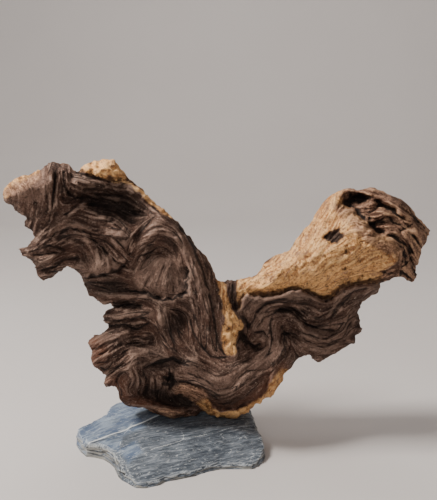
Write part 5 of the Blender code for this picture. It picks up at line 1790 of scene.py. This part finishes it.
def weathering() -> bpy.types.NodeTree:
    """The group that makes any surface of the piece uneven in tone, with small specks."""
    known = bpy.data.node_groups.get("weathering")
    if known:
        return known
    tree = new_group(
        "weathering",
        {"Place": "Vector", "Patch": "Float", "Speck": "Float"},
        {"Drift": "Float", "Specks": "Float"},
    )
    bench = Bench(tree)
    given = bench.node("NodeGroupInput").outputs
    drift, speck = (
        bench.node(
            "ShaderNodeTexNoise",
            {"Vector": given["Place"], "Scale": given[scale], "Detail": detail, "Roughness": 0.6},
        ).outputs[0]
        for scale, detail in (("Patch", 4.0), ("Speck", 2.0))
    )
    wide, small = bench.spread(drift, 0.3, 0.7), bench.spread(speck, 0.56, 0.70)
    bench.node("NodeGroupOutput", {"Drift": wide, "Specks": small})
    return tree


def shade_and_soiling() -> bpy.types.NodeTree:
    """The group that darkens hollows and creases and lightens crests and edges: painted shade and painted
    highlights, partly dirt and wear.
    """
    known = bpy.data.node_groups.get("shade_and_soiling")
    if known:
        return known
    tree = new_group(
        "shade_and_soiling", {"Hollow": "Float", "Uneven": "Float"}, {"ShadeAndDirt": "Float", "HighlightAndWear": "Float"}
    )
    bench = Bench(tree)
    given = bench.node("NodeGroupInput").outputs
    moved = bench.sum("ADD", given["Hollow"], bench.sum("MULTIPLY", given["Uneven"], 0.12))
    # painted shade: darker in hollows and creases, partly dirt
    shade_and_dirt = bench.spread(moved, 0.58, 0.95)
    # painted highlight: paler on crests and edges, partly wear
    rubbed = bench.spread(moved, 0.44, 0.22)
    bench.node("NodeGroupOutput", {"ShadeAndDirt": shade_and_dirt, "HighlightAndWear": rubbed})
    return tree


def aged(bench: Bench, place: object, patch: float, speck: float) -> tuple[object, object]:
    """Places the two groups that the wood and the slate share.

    Args:
        bench: sets out the nodes.
        place: where the patterns are read.
        patch: the scale of the wide patches.
        speck: the scale of the small specks.

    Returns:
        The outputs of the weathering and those of the group that paints shade into hollows and highlights
        onto crests, partly dirt and wear.
    """
    weather = bench.group(weathering(), {"Place": place, "Patch": patch, "Speck": speck}).outputs
    hollow = bench.attribute(Attribute.HOLLOW)
    return weather, bench.group(shade_and_soiling(), {"Hollow": hollow, "Uneven": weather["Specks"]}).outputs


def new_material(name: str) -> tuple[bpy.types.Material, Bench, bpy.types.Node, object]:
    """Starts a material.

    Returns:
        The material, the bench for its nodes, its shader and the places that its patterns read.
    """
    material = bpy.data.materials.new(name)
    material.use_nodes = True
    bench = Bench(material.node_tree)
    shader = material.node_tree.nodes["Principled BSDF"]
    place = bench.node("ShaderNodeTexCoord").outputs["Object"]
    return material, bench, shader, place


@dataclass(frozen=True)
class MopaniFinish:
    """Dark eroded heartwood, pale sapwood and the brown between them."""

    ridge: tuple = shade(148, 122, 107)
    heart: tuple = shade(80, 61, 52)
    deep: tuple = shade(42, 30, 25)
    black: tuple = shade(20, 13, 10)
    flake_and_light: tuple = shade(124, 99, 86)
    shadow: tuple = shade(40, 29, 24)
    red: tuple = shade(110, 66, 45)
    glint: tuple = shade(206, 188, 166)
    pale: tuple = shade(230, 184, 126)
    sap: tuple = shade(200, 148, 93)
    golden: tuple = shade(224, 170, 110)
    orange: tuple = shade(146, 96, 58)
    worn: tuple = shade(138, 104, 84)
    worn_dark: tuple = shade(72, 48, 35)
    worn_pale: tuple = shade(178, 140, 108)
    patch: float = 70.0
    speck: float = 620.0
    figure_pace: tuple[float, float, float] = (13.0, 2.0, 45.0)
    thread_pace: tuple[float, float, float] = (34.0, 5.0, 110.0)
    fleck_pace: tuple[float, float, float] = (22.0, 4.0, 150.0)
    fibres: Pattern = Pattern(1.4, 4.0, 0.72)
    pores: Pattern = Pattern(0.8, 2.0, 0.6)
    glints: Pattern = Pattern(1.5, 1.0, window=(0.75, 0.79, 0.0, 0.5))
    pits: Pattern = Pattern(1.2, 4.0, 0.75, (0.54, 0.61, 0.0, 1.0), (1.0, 1.0, 1.6), 35.0)
    blotches: Pattern = Pattern(8.0, 5.0, 0.65, (0.46, 0.68, 0.0, 0.6))
    golden_parts: Pattern = Pattern(6.0, 4.0, 0.65, (0.40, 0.60, 0.25, 0.85))
    specks: Pattern = Pattern(1.7, 4.0, 0.75, reach=(1.0, 1.0, 1.5), turn=20.0)
    line_parts: Pattern = Pattern(16.0, 2.0, window=(0.44, 0.60, 0.0, 1.0))
    ring_parts: Pattern = Pattern(9.0, 3.0, window=(0.42, 0.6, 0.0, 1.0))
    ring_waver: Pattern = Pattern(30.0, 2.0)
    flaked_and_lit: Window = (0.55, 1.0, 0.0, 0.55)
    shaded: Window = (0.45, 0.0, 0.0, 0.62)
    pitted: Window = (0.4, 0.9, 0.2, 0.6)
    clefts: Window = (0.21, 0.03, 0.0, 0.85)
    gilded: Window = (0.6, 1.0, 0.0, 1.0)
    flecked: Window = (0.53, 0.62, 0.0, 0.85)
    specks_pale: Window = (0.46, 0.38, 0.0, 0.5)
    specks_dark: Window = (0.56, 0.62, 0.0, 0.75)
    line_width: Window = (0.028, 0.006, 0.0, 1.0)
    ring_width: Window = (0.13, 0.02, 0.0, 1.0)
    roughness: Window = (0.35, 0.65, 0.95, 0.72)
    specular: float = 0.22
    relief: float = 0.95

    def _heartwood(
        self, bench: Bench, tone: object, weather: object, shade_and_soil: object, place: object
    ) -> object:
        """The colour of the dark wood, with its flakes, painted light and shade, painted glints and open
        lines.
        """
        marks = bench.attribute(Attribute.TONE)
        heart = bench.ramp(tone, [(0.28, self.deep), (0.5, self.heart), (0.74, self.ridge)])
        heart = bench.stain(heart, self.red, weather["Drift"], 0.16)
        # painted light where the tone mask is high, partly the wood's own pale flakes
        heart = bench.shown(heart, self.flake_and_light, marks, self.flaked_and_lit)
        # painted shade where the tone mask is low
        heart = bench.shown(heart, self.shadow, marks, self.shaded)
        heart = bench.stain(heart, self.red, bench.attribute(Attribute.RED), 0.42)
        # painted highlight on crests, partly wear; then painted shade in hollows and creases, partly dirt
        heart = bench.stain(heart, self.ridge, shade_and_soil["HighlightAndWear"], 0.4)
        heart = bench.stain(heart, self.black, shade_and_soil["ShadeAndDirt"], 0.75)
        # painted glints: sparse pale specks that stand for highlights
        heart = bench.blend(self.glints.shown(bench, place), heart, self.glint)
        pits = self.pits.shown(bench, place)
        heart = bench.stain(heart, self.deep, pits, bench.spread(marks, *self.pitted))
        return bench.shown(heart, self.black, bench.attribute(Attribute.CRACK), self.clefts)

    def _with_grain(self, bench: Bench, place: object, broad: float, grain: float, drift: float) -> object:
        """Noise that runs with the grain.

        Args:
            bench: sets out the nodes.
            place: where the pattern is read.
            broad: how fast it changes from one broad fold to the next.
            grain: how fast it changes from one fine fold to the next.
            drift: how fast it changes along the grain.

        Returns:
            Its value, from 0 to 1.
        """
        folds = {
            axis: bench.sum("MULTIPLY", bench.attribute(name), pace)
            for axis, (name, pace) in enumerate(((Attribute.BROAD, broad), (Attribute.GRAIN, grain)))
        }
        across = bench.node("ShaderNodeCombineXYZ", folds).outputs[0]
        along = bench.node("ShaderNodeVectorMath", {0: place, "Scale": drift}, operation="SCALE").outputs[0]
        where = bench.node("ShaderNodeVectorMath", {0: across, 1: along}, operation="ADD").outputs[0]
        inputs = {"Vector": where, "Scale": 1.0, "Detail": 3.0, "Roughness": 0.6}
        return bench.node("ShaderNodeTexNoise", inputs).outputs[0]

    def _sapwood(self, bench: Bench, tone: object, weather: object, shade_and_soil: object, place: object) -> object:
        """The colour of the pale wood, fibrous, with brown pits."""
        sap = bench.ramp(tone, [(0.32, self.orange), (0.47, self.sap), (0.62, self.pale)])
        sap = bench.blend(self.blotches.shown(bench, place), sap, self.orange)
        sap = bench.stain(sap, self.orange, bench.attribute(Attribute.RED), 0.5)
        # where the tone mask is high the sapwood turns golden: partly painted light, partly golden patches
        # of its own
        golden = bench.spread(bench.attribute(Attribute.TONE), *self.gilded)
        sap = bench.stain(sap, self.golden, golden, self.golden_parts.shown(bench, place))
        flecks = self._with_grain(bench, place, *self.fleck_pace)
        sap = bench.shown(sap, self.worn, flecks, self.flecked)
        specks = self.specks.value(bench, place)
        sap = bench.shown(sap, self.pale, specks, self.specks_pale)
        sap = bench.shown(sap, self.worn_dark, specks, self.specks_dark)
        sap = bench.stain(sap, self.worn, weather["Specks"], 0.65)
        # painted highlight on crests and edges and painted shade in hollows, partly wear and dirt
        sap = bench.stain(sap, self.pale, shade_and_soil["HighlightAndWear"], 0.45)
        return bench.stain(sap, self.worn_dark, shade_and_soil["ShadeAndDirt"], 0.9)

    def material(self) -> bpy.types.Material:
        """Makes the wood's material."""
        material, bench, shader, place = new_material("mopani wood")
        weather, shade_and_soil = aged(bench, place, self.patch, self.speck)
        grain, broad = bench.attribute(Attribute.GRAIN), bench.attribute(Attribute.BROAD)
        figure = self._with_grain(bench, place, *self.figure_pace)
        thread = self._with_grain(bench, place, *self.thread_pace)
        fibre = self.fibres.value(bench, place)
        tone = bench.mixed([(0.46, grain), (0.42, figure), (0.65, thread), (0.7, fibre), (-0.615, 1.0)])
        thin = bench.near_half(broad, self.line_width)
        lines = bench.sum("MULTIPLY", thin, self.line_parts.shown(bench, place))
        turns = bench.mixed([(7.0, broad), (1.5, self.ring_waver.value(bench, place))])
        ring = bench.near_half(bench.sum("FRACT", turns), self.ring_width)
        rings = bench.sum("MULTIPLY", ring, self.ring_parts.shown(bench, place))
        heart = self._heartwood(bench, tone, weather, shade_and_soil, place)
        heart = bench.stain(heart, self.deep, rings, 0.5)
        heart = bench.stain(heart, self.black, lines, 0.8)
        sap = self._sapwood(bench, tone, weather, shade_and_soil, place)
        sap = bench.stain(sap, self.worn_dark, lines, 0.4)
        wood = bench.blend(bench.attribute(Attribute.SAPWOOD), heart, sap)
        worn = bench.ramp(tone, [(0.36, self.worn_dark), (0.52, self.worn), (0.66, self.worn_pale)])
        # painted shade in the hollows of the brown wood, partly dirt
        worn = bench.stain(worn, self.black, shade_and_soil["ShadeAndDirt"], 0.95)
        wood = bench.stain(wood, worn, bench.attribute(Attribute.BROWN), 0.9)
        bench.tree.links.new(wood, shader.inputs["Base Color"])
        bench.tree.links.new(bench.spread(tone, *self.roughness), shader.inputs["Roughness"])
        shader.inputs["Specular IOR Level"].default_value = self.specular
        pores = self.pores.value(bench, place)
        height = bench.mixed([(0.5, pores), (1.0, tone), (-0.7, lines), (-0.3, rings)])
        bench.tree.links.new(bench.bump(height, 1.0, self.relief), shader.inputs["Normal"])
        return material


@dataclass(frozen=True)
class SlateFinish:
    """Grey split slate: pale streaks on its bevel, blue on its smooth faces, thin layers on its walls."""

    body: tuple = shade(69, 76, 84)
    shadowed: tuple = shade(46, 53, 63)
    streak: tuple = shade(124, 130, 137)
    blue: tuple = shade(66, 82, 108)
    blue_pale: tuple = shade(122, 135, 150)
    layer: tuple = shade(116, 114, 108)
    layer_pale: tuple = shade(158, 155, 146)
    dust: tuple = shade(206, 209, 208)
    crack: tuple = shade(36, 38, 42)
    patch: float = 45.0
    speck: float = 560.0
    bands: Pattern = Pattern(1.7, 5.0, 0.72, reach=(14.0, 1.0, 0.7), turn=SLATE_STREAK)
    hair: Pattern = Pattern(0.8, 3.0, 0.65, reach=(9.0, 1.0, 1.0), turn=SLATE_STREAK)
    hair_pale: Window = (0.51, 0.60, 0.0, 0.5)
    hair_dark: Window = (0.49, 0.40, 0.0, 0.55)
    cloud: Pattern = Pattern(5.0, 6.0, 0.7, (0.42, 0.6, 0.0, 1.0), (3.0, 1.0, 1.0), 38.0)
    wide: Pattern = Pattern(13.0, 3.0, 0.6, reach=(2.5, 1.0, 1.0), turn=SLATE_STREAK)
    wide_dark: Window = (0.50, 0.34, 0.0, 0.5)
    wide_pale: Window = (0.50, 0.64, 0.0, 0.2)
    flakes: Pattern = Pattern(1.5, 4.0, 0.75, (0.57, 0.66, 0.0, 0.45), (2.6, 1.0, 1.0), 30.0)
    leaves: Pattern = Pattern(1.4, 3.0, 0.6, reach=(9.0, 9.0, 0.8))
    walls: Window = (0.55, 0.9, 0.0, 0.8)
    veins: Window = (0.13, 0.04, 0.0, 0.9)
    grit: Pattern = Pattern(0.8, 3.0, 0.65)
    roughness: Window = (0.35, 0.65, 0.55, 0.75)
    specular: float = 0.4
    relief: float = 0.5
    relief_strength: float = 0.8

    def material(self) -> bpy.types.Material:
        """Makes the slate's material."""
        material, bench, shader, place = new_material("split slate")
        _, shade_and_soil = aged(bench, place, self.patch, self.speck)
        bands, hair = self.bands.value(bench, place), self.hair.value(bench, place)
        colour = bench.ramp(bands, [(0.38, self.shadowed), (0.5, self.body), (0.62, self.streak)])
        colour = bench.shown(colour, self.streak, hair, self.hair_pale)
        colour = bench.shown(colour, self.shadowed, hair, self.hair_dark)
        smooth_face = bench.blend(self.cloud.shown(bench, place), self.blue, self.blue_pale)
        colour = bench.stain(colour, smooth_face, bench.attribute(Attribute.BLUE), 0.85)
        wide = self.wide.value(bench, place)
        colour = bench.shown(colour, self.shadowed, wide, self.wide_dark)
        colour = bench.shown(colour, self.streak, wide, self.wide_pale)
        colour = bench.blend(self.flakes.shown(bench, place), colour, self.dust)
        leaves = self.leaves.value(bench, place)
        wall = bench.ramp(leaves, [(0.40, self.crack), (0.47, self.layer), (0.62, self.layer_pale)])
        colour = bench.shown(colour, wall, bench.attribute(Attribute.STEEP), self.walls)
        # painted highlight on raised edges and painted shade in hollows, partly dust and dirt
        colour = bench.stain(colour, self.dust, shade_and_soil["HighlightAndWear"], 0.3)
        colour = bench.stain(colour, self.crack, shade_and_soil["ShadeAndDirt"], 0.7)
        colour = bench.shown(colour, self.dust, bench.attribute(Attribute.CRACK), self.veins)
        bench.tree.links.new(colour, shader.inputs["Base Color"])
        bench.tree.links.new(bench.spread(bands, *self.roughness), shader.inputs["Roughness"])
        shader.inputs["Specular IOR Level"].default_value = self.specular
        height = bench.mixed([(0.8, bands), (0.5, hair), (0.4, self.grit.value(bench, place))])
        bench.tree.links.new(
            bench.bump(height, self.relief_strength, self.relief), shader.inputs["Normal"]
        )
        return material


@dataclass(frozen=True)
class SteelFinish:
    """Bright stainless steel with fine turning marks."""

    dull: tuple = shade(164, 165, 166)
    steel: tuple = shade(190, 190, 188)
    marks: Pattern = Pattern(1.2, 2.0, reach=(1.0, 1.0, 0.2))
    roughness: Window = (0.3, 0.7, 0.26, 0.42)

    def material(self) -> bpy.types.Material:
        """Makes the screws' material."""
        material, bench, shader, place = new_material("stainless steel")
        marks = self.marks.value(bench, place)
        tone = bench.ramp(marks, [(0.3, self.dull), (0.7, self.steel)])
        bench.tree.links.new(tone, shader.inputs["Base Color"])
        bench.tree.links.new(bench.spread(marks, *self.roughness), shader.inputs["Roughness"])
        shader.inputs["Metallic"].default_value = 1.0
        return material


@dataclass(frozen=True)
class FloorFinish:
    """A plain pale table top."""

    pale: tuple = shade(199, 194, 191)
    warm: tuple = shade(193, 187, 184)
    drift: Pattern = Pattern(240.0, 2.0)
    roughness: float = 0.62

    def material(self) -> bpy.types.Material:
        """Makes the floor's material."""
        material, bench, shader, place = new_material("pale floor")
        colour = bench.blend(self.drift.value(bench, place), self.pale, self.warm)
        bench.tree.links.new(colour, shader.inputs["Base Color"])
        shader.inputs["Roughness"].default_value = self.roughness
        return material


# The studio


@dataclass(frozen=True)
class Lamp:
    """A soft square light: where it hangs in metres, its side, its power in watts and its tint."""

    name: str
    place: tuple[float, float, float]
    size: float
    power: float
    tint: tuple[float, float, float]


LAMPS = (
    Lamp("key", (-0.62, -0.14, 0.80), 0.26, 18.4, (1.0, 0.96, 0.91)),
    Lamp("fill", (-0.10, -0.95, 0.60), 0.7, 4.2, (0.96, 0.98, 1.0)),
    Lamp("top", (-0.05, 0.30, 1.0), 0.6, 1.5, (1.0, 0.98, 0.96)),
    Lamp("sweep", (0.0, 0.80, 1.35), 0.9, 6.8, (1.0, 0.99, 0.98)),
)


@dataclass
class Studio:
    """A pale floor that sweeps up behind the piece, soft lights and the camera."""

    lens: float = 54.65
    sensor: float = 36.0
    pitch: float = 12.0
    first_seen: float = 0.01
    reach: float = 1.6
    rise: float = 1.8
    curve: float = 0.7
    curve_steps: int = 24
    behind: float = 0.5
    piece_middle: tuple[float, float, float] = (0.0, 0.0, 0.1)
    sweep_height: float = 0.5
    sky: tuple[float, float, float, float] = (0.70, 0.83, 1.0, 1.0)
    sky_strength: float = 0.14

    def _floor(self) -> None:
        """Lays the floor and its rounded sweep."""
        bpy.ops.object.select_all(action="DESELECT")
        bpy.ops.mesh.primitive_plane_add(size=2 * self.reach, location=(0, 0, 0))
        floor = bpy.context.object
        floor.name = "floor_sweep"
        mesh = floor.data
        for vert in mesh.vertices:
            vert.select = vert.co.y > 0
        for edge in mesh.edges:
            edge.select = all(mesh.vertices[i].co.y > 0 for i in edge.vertices)
        activate(floor)
        bpy.ops.object.mode_set(mode="EDIT")
        bpy.ops.mesh.select_mode(type="EDGE")
        bpy.ops.mesh.extrude_region_move(TRANSFORM_OT_translate={"value": (0, 0, self.rise)})
        bpy.ops.mesh.select_all(action="DESELECT")
        bpy.ops.object.mode_set(mode="OBJECT")
        for edge in mesh.edges:
            ends = [mesh.vertices[i].co for i in edge.vertices]
            edge.select = all(abs(end.z) < 1e-6 and end.y > 0 for end in ends)
        bpy.ops.object.mode_set(mode="EDIT")
        bpy.ops.mesh.bevel(offset=self.curve, segments=self.curve_steps, affect="EDGES")
        bpy.ops.object.mode_set(mode="OBJECT")
        activate(floor)
        bpy.ops.object.shade_smooth()
        floor.data.materials.append(FloorFinish().material())

    def _light(self, lamp: Lamp) -> None:
        """Hangs a light that faces the middle of the piece, or the sweep if it hangs behind the piece."""
        bpy.ops.object.select_all(action="DESELECT")
        bpy.ops.object.light_add(type="AREA", location=lamp.place)
        light = bpy.context.object
        light.name = lamp.name
        light.data.size = lamp.size
        light.data.energy = lamp.power
        light.data.color = lamp.tint
        sweep = (0, self.reach, self.sweep_height)
        aim = Vector(sweep if lamp.place[1] > self.behind else self.piece_middle) - Vector(lamp.place)
        light.rotation_euler = aim.to_track_quat("-Z", "Y").to_euler()

    def build(self) -> None:
        """Sets up floor, lights, surroundings and camera."""
        self._floor()
        for lamp in LAMPS:
            self._light(lamp)
        world = bpy.data.worlds.new("soft surroundings")
        world.use_nodes = True
        background = world.node_tree.nodes["Background"]
        background.inputs["Color"].default_value = self.sky
        background.inputs["Strength"].default_value = self.sky_strength
        bpy.context.scene.world = world
        tilt = math.radians(90 - self.pitch)
        bpy.ops.object.camera_add(location=tuple(EYE * MM), rotation=(tilt, 0, 0))
        camera = bpy.context.object
        camera.name = "matched_camera"
        camera.data.lens = self.lens
        camera.data.sensor_width = self.sensor
        camera.data.sensor_fit = "AUTO"
        camera.data.clip_start = self.first_seen
        bpy.context.scene.camera = camera


def main() -> None:
    """Builds the studio and each piece in turn, and reports how long each took."""
    logging.basicConfig(level=logging.INFO, format="%(name)s: %(message)s")
    start = time.monotonic()
    Studio().build()
    MopaniRoot().build()
    log.info("root: %.1f s", time.monotonic() - start)
    SlatePlate().build()
    log.info("plate: %.1f s", time.monotonic() - start)
    for number, place in enumerate(SCREW_PLACES, 1):
        FixingScrew().build(number, place)
    log.info("screws: %.1f s", time.monotonic() - start)


if __name__ == "__main__":
    main()
